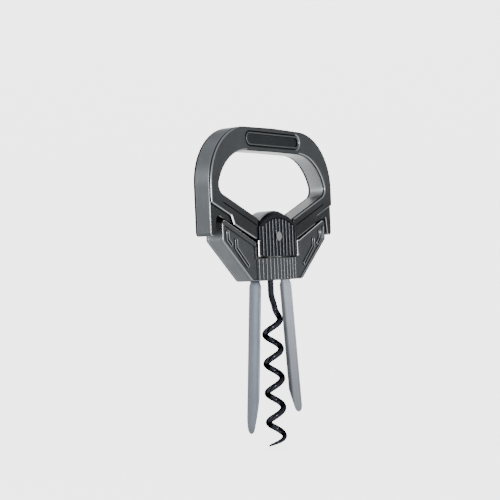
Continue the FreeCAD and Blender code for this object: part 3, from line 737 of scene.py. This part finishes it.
def plated_metal(name, colour, rough, contrast=0.12, grain=0.05, fades=(), rim=0.5):
    """Satin plated casting: cloudy tone, fine blasted grain and uneven gloss."""
    material, nodes, links, shader = new_material(name)
    clouds = noise(nodes, links, 55.0, 5.0)
    tone = cloudy(nodes, links, clouds, shade(colour, 1 - contrast), shade(colour, 1 + contrast))
    for fade in fades:
        tone = faded(nodes, links, tone, *fade)
    links.new(tone, shader.inputs["Base Color"])
    smudge = noise(nodes, links, 180.0, 6.0, (1, 1, 0.6))
    links.new(value_range(nodes, links, smudge, rough * 0.8, rough * 1.2), shader.inputs["Roughness"])
    add_bump(nodes, links, shader, noise(nodes, links, 2600.0, 2.0), grain, GRAIN_DEPTH)
    shader.inputs["Metallic"].default_value = 1.0
    shader.inputs["Specular Tint"].default_value = (rim, rim, rim, 1)
    return material


def brushed_metal(name, colour, rough, stretch, fades=()):
    """Steel with fine lines along one axis."""
    material, nodes, links, shader = new_material(name)
    lines = noise(nodes, links, 900.0, 4.0, stretch)
    clouds = noise(nodes, links, 40.0, 4.0)
    tone = cloudy(nodes, links, clouds, shade(colour, 0.9), shade(colour, 1.1))
    for fade in fades:
        tone = faded(nodes, links, tone, *fade)
    links.new(tone, shader.inputs["Base Color"])
    links.new(value_range(nodes, links, lines, rough * 0.75, rough * 1.25), shader.inputs["Roughness"])
    add_bump(nodes, links, shader, lines, 0.12, LINE_DEPTH)
    shader.inputs["Metallic"].default_value = 1.0
    return material


def coated_wire(name):
    """Hard glossy black low-friction coating with a little unevenness."""
    material, nodes, links, shader = new_material(name)
    clouds = noise(nodes, links, 260.0, 5.0)
    tone = cloudy(nodes, links, clouds, (0.007, 0.0072, 0.010), (0.014, 0.0145, 0.018), 0.75)
    links.new(tone, shader.inputs["Base Color"])
    links.new(value_range(nodes, links, clouds, 0.05, 0.09), shader.inputs["Roughness"])
    add_bump(nodes, links, shader, noise(nodes, links, 900.0, 3.0), 0.08, GRAIN_DEPTH)
    shader.inputs["Metallic"].default_value = 1.0
    shader.inputs["Specular Tint"].default_value = (0.1, 0.1, 0.11, 1)
    return material


def moulded_plastic(name, colour, rough):
    """Plain plastic with a faint texture."""
    material, nodes, links, shader = new_material(name)
    clouds = noise(nodes, links, 120.0, 4.0)
    tone = cloudy(nodes, links, clouds, shade(colour, 0.85), shade(colour, 1.2))
    links.new(tone, shader.inputs["Base Color"])
    links.new(value_range(nodes, links, clouds, rough * 0.9, rough * 1.15), shader.inputs["Roughness"])
    add_bump(nodes, links, shader, noise(nodes, links, 1800.0, 2.0), 0.1, GRAIN_DEPTH)
    return material


# painted shade: the handle's face metal darkens downwards towards the vee under the opening
handle_metal = plated_metal("handle_gunmetal", (0.0215, 0.0228, 0.0242), 0.32,
                            fades=[("Z", 30.0, 54.0, 0.58)])
# lighter copy of the handle's metal for side walls: painted light, with painted shade darkening it
# towards the bottom
band_metal = plated_metal("band_gunmetal", (0.076, 0.082, 0.088), 0.40,
                          fades=[("Z", 46.0, 66.0, 0.45)])
# lighter copy of the metal on the finger opening's walls and the hub's crest: painted light
inner_metal = plated_metal("opening_wall_painted_light", (0.105, 0.108, 0.112), 0.42, rim=1.0)
housing_metal = plated_metal("housing_gunmetal", (0.024, 0.0252, 0.0268), 0.34)
# lighter copy of the housing's metal on its sides and the core blocks: painted light
flank_metal = plated_metal("housing_flank", (0.062, 0.066, 0.070), 0.4)
hub_metal = plated_metal("hub_gunmetal", (0.0085, 0.0088, 0.0108), 0.32)
pad_metal = plated_metal("pad_gunmetal", (0.011, 0.0115, 0.0130), 0.36)
plate_metal = plated_metal("name_plate_dark", (0.011, 0.012, 0.013), 0.36)
# lighter copy of the metal for rounded edges that face left or down and for the relief bars: painted
# highlight lines
edge_metal = plated_metal("edge_painted_highlight", (0.105, 0.11, 0.115), 0.22, contrast=0.06, grain=0.03)
# near-white metal for the glint at the left chevron step and on the hub's beads: painted highlight
bright_metal = plated_metal("painted_glint_edge", (0.55, 0.55, 0.56), 0.18, contrast=0.04, grain=0.02)
# bright metal along the flange's top edge: painted highlight
flange_edge = plated_metal("flange_edge", (0.30, 0.305, 0.31), 0.22, contrast=0.06, grain=0.03)
# dim_edge, pad_rib and base_rib are lighter copies of the metals for the other rounded edges and the
# ribs: painted highlight lines
dim_edge = plated_metal("dim_edge", (0.040, 0.043, 0.046), 0.26, contrast=0.08, grain=0.03)
pad_rib = plated_metal("pad_rib", (0.030, 0.032, 0.035), 0.28, contrast=0.06, grain=0.03)
base_rib = plated_metal("base_rib", (0.060, 0.063, 0.067), 0.28, contrast=0.06, grain=0.03)
seam_metal = plated_metal("seam_shadow", (0.003, 0.003, 0.004), 0.5, contrast=0.2)
# the prongs are one steel: the long one a darker copy, the short one a lighter copy as painted light,
# darker towards its back edge and its tip as painted shade
prong_metal = brushed_metal("prong_steel_painted_shade", (0.054, 0.060, 0.071), 0.34, (1, 1, 0.02))
short_prong_metal = brushed_metal("prong_steel_painted_light", (0.135, 0.146, 0.165), 0.3, (1, 1, 0.02),
                                  fades=[("Y", 1.9, 0.7, 0.3), ("Z", -75.0, -10.0, 0.5)])
pin_metal = brushed_metal("pin_steel", (0.16, 0.165, 0.17), 0.3, (1, 0.05, 1))
screw_metal = brushed_metal("screw_steel", (0.11, 0.115, 0.12), 0.32, (1, 0.1, 1))
spring_metal = brushed_metal("spring_wire", (0.2, 0.2, 0.205), 0.28, (1, 1, 1))
brass_metal = brushed_metal("bush_brass_turned", (0.30, 0.20, 0.08), 0.32, (1, 0.05, 1))
badge_metal = plated_metal("badge_satin", (0.10, 0.103, 0.108), 0.24)
collar_metal = brushed_metal("collar_turned", (0.07, 0.073, 0.078), 0.34, (1, 1, 0.05))
worm_coat = coated_wire("worm_black_coating")
guide_plastic = moulded_plastic("guide_black_plastic", (0.008, 0.008, 0.009), 0.45)

# materials in the order of the slots
HANDLE_LOOK = [handle_metal, edge_metal, band_metal, dim_edge, inner_metal, seam_metal, bright_metal]
HOUSING_LOOK = [housing_metal, edge_metal, flank_metal, dim_edge, flange_edge, seam_metal, base_rib]
HUB_LOOK = [hub_metal, dim_edge, hub_metal, dim_edge, inner_metal, seam_metal, bright_metal]
PAD_LOOK = [pad_metal, pad_rib, pad_metal, pad_rib]
NAME_LOOK = [plate_metal, dim_edge, plate_metal, dim_edge]


# ---- handle ----
def in_opening(x, z, margin=1.0):
    """True on the walls of the finger opening and up to a margin outside them."""
    past_side = max(abs(x) - (OPENING_HALF - OPENING_CORNER), 0.0)
    past_top = max(z - (OPENING_TOP - OPENING_CORNER), 0.0)
    return math.hypot(past_side, past_top) < OPENING_CORNER + margin and z > ledge_z(x) - margin / 2


def handle_band():
    """Middle layer of the handle, set back in front between the chevron and the housing."""
    layer = joined([extruded([frame_outline()], -FRAME_HALF, FRAME_HALF, BAND_EDGE, 4)])
    near = HUB_HALF - SHADOW_UNDER_HUB
    far = POCKET_X + SHADOW_END
    loop = [
        (near, flange_z(near) - SHADOW_OVERCUT),
        (far, flange_z(far) - SHADOW_OVERCUT),
        (far, chevron_z(far) - SHADOW_RISE / 2),
        (CHEVRON_STEP_X, chevron_z(CHEVRON_STEP_X) + SHADOW_RISE),
        (near, chevron_z(near) + SHADOW_RISE),
    ]
    shadow_gaps = [cutter(side, -FRAME_HALF - CUT_PAST, -SHADOW_DEPTH) for side in both_sides(loop)]
    return carved(mark_faces(layer, inside=in_opening), shadow_gaps, GROOVE)


def groove_cutters():
    """Grooves under the ledges of the opening."""
    path = [(x, ledge_z(x) - GROOVE_DROP) for x in (GROOVE_START, GROOVE_END)]
    loops = both_sides(band_outline(path, GROOVE_WIDTH))
    return [cutter(loop, -PLATE_FRONT - GROOVE_DEPTH, -PLATE_FRONT + GROOVE_DEPTH) for loop in loops]


def name_window():
    """Window of a face plate round its name plate."""
    return stadium(NAME_HALF + WINDOW_END_GAP, NAME_HEIGHT + 2 * WINDOW_SIDE_GAP, NAME_MIDDLE)


def plate_edges(x, z, normal):
    """Rounded edges of a face plate: painted glints at the left chevron's step and at the window's
    right end, painted shade where they turn into the sides, elsewhere the painted highlight by
    direction.
    """
    beside_window = abs(x) < NAME_HALF + WINDOW_MARGIN
    if beside_window and name_low.z - WINDOW_MARGIN < z < name_high.z + WINDOW_MARGIN:
        return EDGE if x > WINDOW_GLINT_X else FACE
    if abs(normal.y) < SEAM_TILT:
        return GROOVE
    if abs(x) < HUB_HALF + HUB_MARGIN:
        return FACE
    beside_step = -CHEVRON_STEP_X - STEP_GLINT_OUT < x < -CHEVRON_STEP_X + STEP_GLINT_IN
    if beside_step and z < chevron_z(x) + CHEVRON_STEP_RISE + STEP_GLINT_RISE:
        return ACCENT
    return edge_slot(normal)


def face_plate(outline):
    """Face plate with its window and grooves."""
    loops = [outline, name_window()]
    plate = joined([extruded(loops, -PLATE_FRONT, -FRAME_HALF + PLATE_SEAT, PLATE_EDGE, 5)])
    return carved(mark_faces(plate, inside=in_opening, bevel=plate_edges), groove_cutters(), GROOVE)


def back_plate():
    """Back plate, with the screw heads' recesses."""
    plate = flip_y(face_plate(frame_outline()))
    return carved(plate, screw_cutters(HANDLE_SCREWS, PLATE_FRONT), GROOVE)


def screw_cutters(places, face_y):
    """Recesses of the countersunk screw heads in a back face."""
    centres = [(side * x, z) for x, z in places for side in (-1, 1)]
    loops = [circle(centre, SCREW_RECESS) for centre in centres]
    return [cutter(loop, face_y - SCREW_DEPTH, face_y + CUT_PAST) for loop in loops]


def name_plate():
    """Blank plate: a dark sunk field inside a raised rim."""
    outer = stadium(NAME_HALF, NAME_HEIGHT, NAME_MIDDLE)
    inner = stadium(NAME_HALF - NAME_RIM, NAME_HEIGHT - 2 * NAME_RIM, NAME_MIDDLE)
    rim = extruded([outer, inner], -PLATE_FRONT - NAME_STANDOUT, -FRAME_HALF, NAME_RIM_EDGE)
    inset = NAME_FIELD_INSET
    sunk = stadium(NAME_HALF - inset, NAME_HEIGHT - 2 * inset, NAME_MIDDLE)
    field = extruded([sunk], -FRAME_HALF - NAME_FIELD_LIFT, -FRAME_HALF, FINEST_EDGE)
    return mark_faces(joined([rim, field]))


make_piece("handle_band", handle_band(), "handle", ["handle_frame"], HANDLE_LOOK)
make_piece("front_face_plate", face_plate(plate_outline()), "handle",
           ["handle_front_plate"], HANDLE_LOOK)
make_piece("rear_face_plate", back_plate(), "handle",
           ["handle_back_plate"], HANDLE_LOOK)
make_piece("front_name_badge_plate", name_plate(), "handle",
           ["front_name_plate"], NAME_LOOK)
make_piece("rear_name_badge_plate", flip_y(name_plate()), "handle",
           ["back_name_plate"], NAME_LOOK)


# ---- hub ----
def on_arch(x, z):
    """True on the hub's arch and sides, above its foot."""
    return z > HUB_BOTTOM + HUB_FOOT


def hub_body():
    """Arched hub: core, raised rims round the pads' pockets, crest, and the beads on its sides."""
    core_front = HUB_FRONT - PAD_RECESS
    arch = arch_outline(HUB_HALF, HUB_BOTTOM, HUB_ARCH_TOP, HUB_ARCH_RADIUS)
    core = extruded([arch], -core_front, core_front, FINE_EDGE)
    pocket = arch_outline(PAD_HALF + PAD_GAP, HUB_BOTTOM, PAD_TOP + PAD_GAP, PAD_ARCH_RADIUS)
    rim = [rim_loop(arch, pocket)]
    front = extruded(rim, -HUB_FRONT, -core_front + ROOT_DEPTH, HUB_RIM_EDGE, 5)
    back = extruded(rim, core_front - ROOT_DEPTH, HUB_FRONT, HUB_RIM_EDGE, 5)
    crest_loop = arch_outline(CREST_HALF, CREST_FOOT, CREST_TOP - CREST_DROP, CREST_RADIUS)
    crest = joined([extruded([crest_loop], -FRAME_HALF, FRAME_HALF, CREST_EDGE, 4)])
    cheeks = joined([cheek(side, face) for side in (-1, 1) for face in (-1, 1)])
    return merged([
        mark_faces(joined([core, front, back]), plain=on_arch),
        mark_faces(crest, inside=on_arch, bevel=always(INSIDE)),
        mark_faces(cheeks, bevel=always(ACCENT)),
    ])


def cheek(side, face):
    """Upright bead on a side of the hub, in front (-1) or behind (1); its near-white metal is a
    painted highlight.
    """
    low_x, high_x = sorted((side * (HUB_HALF - CHEEK_ROOT), side * (HUB_HALF + CHEEK_WIDTH)))
    low_y, high_y = sorted((face * CHEEK_BACK, face * CHEEK_FRONT))
    return extruded([box_loop(low_x, HUB_BOTTOM, high_x, CHEEK_TOP)], low_y, high_y, CHEEK_EDGE, 4)


def rim_loop(arch, pocket):
    """Arched rim: out along the hub's arch and back along the pad's pocket."""
    outer_arch = arch[1:] + arch[:1]
    inner_arch = pocket[1:] + pocket[:1]
    return outer_arch + list(reversed(inner_arch))


def rib_centres(count):
    """X of each rib in a row centred on the middle."""
    first = -(count - 1) / 2.0 * RIB_PITCH
    return [first + index * RIB_PITCH for index in range(count)]


def ribbed_pad():
    """Arched pad with upright ribs that end under its arch."""
    floor_y = HUB_FRONT - PAD_RECESS
    outline = arch_outline(PAD_HALF, HUB_BOTTOM, PAD_TOP, PAD_ARCH_RADIUS)
    meshes = [extruded([outline], -floor_y - PAD_BASE, -floor_y, FINEST_EDGE)]
    foot = HUB_BOTTOM + RIB_FOOT_GAP
    for x in rib_centres(PAD_RIBS):
        left = x - RIB_WIDTH / 2.0
        right = x + RIB_WIDTH / 2.0
        left_top = arch_height(left, PAD_TOP, PAD_ARCH_RADIUS) - RIB_TOP_GAP
        right_top = arch_height(right, PAD_TOP, PAD_ARCH_RADIUS) - RIB_TOP_GAP
        loop = [(left, foot), (right, foot), (right, right_top), (left, left_top)]
        meshes.append(extruded([loop], -HUB_FRONT + RIB_SET_BACK, -floor_y, PAD_RIB_EDGE, 4))
    return mark_faces(joined(meshes))


make_piece("hub_casting", hub_body(), "handle",
           ["hub_block"], HUB_LOOK)
make_piece("front_ribbed_pad", ribbed_pad(), "handle",
           ["front_grip_pad"], PAD_LOOK)
make_piece("rear_ribbed_pad", flip_y(ribbed_pad()), "handle",
           ["back_grip_pad"], PAD_LOOK)


# ---- housing covers ----
def relief_bars(low_y, high_y):
    """Bent raised bars on the cover's panel, each with a sunk middle."""
    bars = []
    for path in RELIEF_PATHS:
        loops = [band_outline(path, RELIEF_WIDTH), band_outline(path, RELIEF_WIDTH - 2 * RELIEF_RIM)]
        mirror_loops = [[(-x, z) for x, z in loop] for loop in loops]
        bars.append(extruded(loops, low_y, high_y, RELIEF_EDGE, 4))
        bars.append(extruded(mirror_loops, low_y, high_y, RELIEF_EDGE, 4))
    return bars


def boss_front(x):
    """Distance of the crowned boss's face from the middle plane."""
    crown = BOSS_MIDDLE - BOSS_SIDE
    radius = (BOSS_HALF ** 2 + crown ** 2) / (2.0 * crown)
    return BOSS_MIDDLE - radius + math.sqrt(radius ** 2 - x ** 2)


def boss():
    """Crowned boss round the worm's guide, with rounded upper and lower edges."""
    low = BOSS_GAP
    high = NOTCH_FLOOR - BOSS_GAP
    sections = []
    for step in range(BOSS_STEPS + 1):
        x = -BOSS_HALF + 2 * BOSS_HALF * step / BOSS_STEPS
        edge_y = boss_front(x) - BOSS_EDGE
        foot = arc((edge_y, low + BOSS_EDGE), BOSS_EDGE, -math.pi / 2, 0.0)
        head = arc((edge_y, high - BOSS_EDGE), BOSS_EDGE, 0.0, math.pi / 2)
        profile = [(CORE_HALF, low)] + foot + head + [(CORE_HALF, high)]
        sections.append([(x, -y, z) for y, z in profile])
    return lofted(sections)


def cover_edges(x, z, normal):
    """The flange's top edge and the cover's outline get painted highlights; the sunk field's edges do
    not.
    """
    above_panel = z > flange_z(x) - FLANGE_WIDTH - PANEL_EDGE_MARGIN
    beside_boss = abs(x) < NOTCH_HALF + BOSS_MARGIN and z > FOOT_GLINT
    if z > flange_z(x) - FLANGE_GLINT and abs(x) > NOTCH_HALF:
        return INSIDE
    return FACE if above_panel or beside_boss else edge_slot(normal)


def housing_cover():
    """Front cover: plate with a sunk panel, relief bars, crowned boss and upright ribs."""
    panel_y = HOUSING_FRONT - PANEL_RECESS
    outline = mirrored(housing_half())
    plate = extruded([outline], -panel_y, -CORE_HALF, FINE_EDGE)
    rims = extruded([outline, panel_outline()], -HOUSING_FRONT, -CORE_HALF - COVER_SEAT, COVER_EDGE, 4)
    bars = relief_bars(-HOUSING_FRONT + RELIEF_SET_BACK, -panel_y + ROOT_DEPTH)
    head = NOTCH_FLOOR - BASE_RIB_HEAD_GAP
    ribs = []
    for x in rib_centres(BASE_RIBS):
        loop = box_loop(x - RIB_WIDTH / 2, BASE_RIB_FOOT, x + RIB_WIDTH / 2, head)
        front = boss_front(x)
        ribs.append(extruded([loop], -front - RIB_HEIGHT, -front + ROOT_DEPTH, BASE_RIB_EDGE, 4))
    return merged([
        mark_faces(joined([plate, rims]), bevel=cover_edges),
        mark_faces(joined(bars), bevel=always(EDGE)),
        mark_faces(boss(), bevel=always(FACE)),
        mark_faces(joined(ribs), bevel=always(ACCENT)),
    ])


def rear_cover():
    """Back cover, with the screw heads' recesses."""
    return carved(flip_y(housing_cover()), screw_cutters(HOUSING_SCREWS, HOUSING_FRONT), GROOVE)


make_piece("front_cover", housing_cover(), "housing",
           ["housing_front_cover"], HOUSING_LOOK)
make_piece("rear_cover", rear_cover(), "housing",
           ["housing_back_cover"], HOUSING_LOOK)


# ---- prongs ----
def taper(depth, length, run):
    """Share of the way through the last run of a blade of some length."""
    return max(0.0, (depth - (length - run)) / run)


def long_bounds(depth, length):
    """Front and back edge of the longer prong's blade at a depth below its pivot."""
    half = BLADE_WIDTH / 2.0
    front = -half + (half - LONG_TIP_FRONT) * taper(depth, length, LONG_FRONT_RUN) ** 1.5
    back = half - LONG_TIP_CUT * taper(depth, length, LONG_BACK_RUN) ** 2.2
    return front, back


def short_bounds(depth, length):
    """Front and back edge of the shorter prong's blade, whose back edge is cut to a slant."""
    half = BLADE_WIDTH / 2.0
    front = -half + SHORT_TIP_CUT * taper(depth, length, SHORT_FRONT_RUN) ** 2
    back = half - (half - SHORT_TIP_BACK) * taper(depth, length, SHORT_BACK_RUN) ** 1.1
    return front, back


def tip_rounding(depth, length):
    """Share of the blade's width left near its rounded tip."""
    left = length - depth
    if left >= TIP_RADIUS:
        return 1.0
    return math.sqrt(max(0.0, 1.0 - (1.0 - left / TIP_RADIUS) ** 2))


def flare(depth):
    """Share of the way from the narrow tang to the full blade."""
    share = min(max((depth - FLARE_START) / FLARE_LENGTH, 0.0), 1.0)
    return share * share * (3.0 - 2.0 * share)


def blade_ring(front, back, depth, thickness):
    """One closed section of the curved blade with round edges."""
    half = thickness / 2.0
    inset = min(half, (back - front) / 2.0)
    low_y = front + inset
    high_y = back - inset
    ring = []
    for face, start_y, end_y in ((1, low_y, high_y), (-1, high_y, low_y)):
        for step in range(ACROSS_STEPS + 1):
            y = start_y + (end_y - start_y) * step / ACROSS_STEPS
            ring.append((BLADE_CURVE + face * half, y))
        for step in range(1, EDGE_STEPS):
            turn = face * (math.pi / 2 - math.pi * step / EDGE_STEPS)
            ring.append((BLADE_CURVE + half * math.sin(turn), end_y + face * inset * math.cos(turn)))
    points = []
    for radius, along in ring:
        angle = along / BLADE_CURVE
        points.append((radius * math.cos(angle) - BLADE_CURVE, radius * math.sin(angle), -depth))
    return points


def blade_section(depth, length, bounds):
    """Section of a prong at a depth below its pivot: narrow tang, full blade or rounded tip."""
    front, back = bounds(depth, length)
    tang = TANG_WIDTH / 2.0
    share = flare(depth)
    front = -tang + (front + tang) * share
    back = tang + (back - tang) * share
    middle = (front + back) / 2.0
    half = max((back - front) / 2.0 * tip_rounding(depth, length), NARROWEST)
    thinning = TIP_THICKNESS + (1.0 - TIP_THICKNESS) * min(1.0, (length - depth) / THINNING_RUN)
    return blade_ring(middle - half, middle + half, depth, BLADE_THICKNESS * thinning)


def lever():
    """Pivot eye and lever tail of the right-hand prong, with the pivot at the origin."""
    eye = [circle((0, 0), EYE_RADIUS), circle((0, 0), EYE_BORE)]
    tail = [band_outline([TAIL_ROOT, TAIL_END], TAIL_WIDTH)]
    half = TANG_WIDTH / 2
    return joined([extruded(loops, -half, half, LEVER_EDGE) for loops in (eye, tail)])


def prong(tip, splay, bounds):
    """Right-hand prong, drawn upright with its pivot at the origin and then splayed."""
    length = (PIVOT_Z - tip) / math.cos(splay)
    run = length - (BLADE_START + TIP_RUN)
    depths = [BLADE_START + run * step / BODY_STEPS for step in range(BODY_STEPS + 1)]
    for step in range(1, TIP_STEPS + 1):
        depths.append(length - TIP_RUN * (1.0 - math.sin(math.pi / 2 * step / TIP_STEPS)))
    blade = lofted([blade_section(depth, length, bounds) for depth in depths])
    bmesh.ops.rotate(blade, cent=(0, 0, 0), matrix=Matrix.Rotation(-splay, 3, "Y"), verts=blade.verts)
    shape = merged([blade, lever()])
    bmesh.ops.translate(shape, vec=Vector((PIVOT_X, 0, PIVOT_Z)) * MM, verts=shape.verts)
    return shape


make_piece("long_prong_blade", flip_x(prong(LONG_TIP, LONG_SPLAY, long_bounds)), "left_lever",
           ["left_prong"], [prong_metal])
make_piece("short_prong_blade", prong(SHORT_TIP, SHORT_SPLAY, short_bounds), "right_lever",
           ["right_prong"], [short_prong_metal])


# ---- CAD nodes that stay, with finished materials ----
KEPT = {
    "left_core_block": flank_metal,
    "right_core_block": flank_metal,
    "worm": worm_coat,
    "pad_badge": badge_metal,
    "handle_screws": screw_metal,
    "housing_screws": screw_metal,
    "hub_dowels": pin_metal,
    "worm_cross_pin": pin_metal,
    "worm_collar": collar_metal,
    "guide_bush": guide_plastic,
    "left_catch_spring": spring_metal,
    "right_catch_spring": spring_metal,
    "left_hinge_pin": pin_metal,
    "right_hinge_pin": pin_metal,
    "left_return_spring": spring_metal,
    "right_return_spring": spring_metal,
    "left_pivot_bush": brass_metal,
    "right_pivot_bush": brass_metal,
}
for node, material in KEPT.items():
    for material_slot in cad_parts[node].material_slots:
        material_slot.material = material


# ---- stage: pale floor that sweeps up far behind on every side, in metres ----
FLOOR_GAP = 0.0006
FLOOR_RADIUS = 1.4
SWEEP_RADIUS = 0.9
WALL_HEIGHT = 0.1
SWEEP_STEPS = 16
AROUND_STEPS = 72


def floor_profile():
    """Radius and height of each ring of the floor, from the inside out."""
    low = cad_box[0].z - FLOOR_GAP
    profile = [(FLOOR_RADIUS, low)]
    for step in range(1, SWEEP_STEPS + 1):
        turn = math.pi / 2 * step / SWEEP_STEPS
        radius = FLOOR_RADIUS + SWEEP_RADIUS * math.sin(turn)
        profile.append((radius, low + SWEEP_RADIUS * (1 - math.cos(turn))))
    profile.append((FLOOR_RADIUS + SWEEP_RADIUS, low + SWEEP_RADIUS + WALL_HEIGHT))
    return profile


def floor_mesh():
    """Disc with a swept-up rim."""
    profile = floor_profile()
    turns = [2 * math.pi * step / AROUND_STEPS for step in range(AROUND_STEPS)]
    shape = bmesh.new()
    middle = shape.verts.new((0, 0, profile[0][1]))
    rings = []
    for radius, z in profile:
        rings.append([shape.verts.new((radius * math.cos(a), radius * math.sin(a), z)) for a in turns])
    for index in range(AROUND_STEPS):
        after = (index + 1) % AROUND_STEPS
        shape.faces.new((middle, rings[0][index], rings[0][after]))
        for inner, outer in zip(rings, rings[1:]):
            shape.faces.new((inner[index], outer[index], outer[after], inner[after]))
    mesh = bpy.data.meshes.new("stage_floor")
    shape.to_mesh(mesh)
    shape.free()
    mesh.shade_smooth()
    return mesh


floor_material, _, _, floor_shader = new_material("pale_floor")
floor_shader.inputs["Base Color"].default_value = (0.5, 0.5, 0.5, 1)
floor_shader.inputs["Roughness"].default_value = 0.9
floor_shader.inputs["Emission Color"].default_value = (1, 1, 1, 1)
floor_shader.inputs["Emission Strength"].default_value = 2.4
stage_floor = bpy.data.objects.new("stage_floor", floor_mesh())
stage_floor.data.materials.append(floor_material)
bpy.context.scene.collection.objects.link(stage_floor)


# ---- lights ----
CENTRE = (0.0, 0.0, 0.02)


def soft_light(name, place, size, power):
    """Round area light aimed at the part; metres and watts."""
    data = bpy.data.lights.new(name, "AREA")
    data.shape = "DISK"
    data.size = size
    data.energy = power
    light = bpy.data.objects.new(name, data)
    light.location = place
    way = Vector(CENTRE) - Vector(place)
    light.rotation_euler = way.to_track_quat("-Z", "Y").to_euler()
    bpy.context.scene.collection.objects.link(light)


soft_light("key", (-0.86, -0.66, 0.12), 0.22, 14.0)
soft_light("left_back", (-0.95, 0.45, 0.30), 0.5, 5.0)

world = bpy.data.worlds.new("studio")
world.use_nodes = True
background = world.node_tree.nodes["Background"]
background.inputs["Color"].default_value = (1, 1, 1, 1)
background.inputs["Strength"].default_value = 2.2
bpy.context.scene.world = world

# ---- camera: angles in radians, distances in metres, lens and sensor in millimetres ----
VIEW_TURN = 0.93201
VIEW_TILT = 0.0213
VIEW_ROLL = -0.04233
DISTANCE = 0.59513
TARGET = Vector((-0.01421, -0.005, -0.003))
LENS = 85.7
SENSOR = 36.0
SHIFT = (-0.024, 0.074)


def camera():
    """Camera that looks at the part from the photograph's side, tilted and rolled a little."""
    flat_right = Vector((math.cos(VIEW_TURN), -math.sin(VIEW_TURN), 0))
    flat_ahead = Vector((math.sin(VIEW_TURN), math.cos(VIEW_TURN), 0))
    up = Vector((0, 0, 1))
    ahead = flat_ahead * math.cos(VIEW_TILT) - up * math.sin(VIEW_TILT)
    level_up = up * math.cos(VIEW_TILT) + flat_ahead * math.sin(VIEW_TILT)
    right = flat_right * math.cos(VIEW_ROLL) + level_up * math.sin(VIEW_ROLL)
    top = level_up * math.cos(VIEW_ROLL) - flat_right * math.sin(VIEW_ROLL)
    data = bpy.data.cameras.new("camera")
    data.sensor_width = SENSOR
    data.lens = LENS
    data.shift_x, data.shift_y = SHIFT
    made = bpy.data.objects.new("camera", data)
    axes = Matrix((right, top, -ahead)).transposed().to_4x4()
    made.matrix_world = Matrix.Translation(TARGET - ahead * DISTANCE) @ axes
    bpy.context.scene.collection.objects.link(made)
    bpy.context.scene.camera = made


camera()
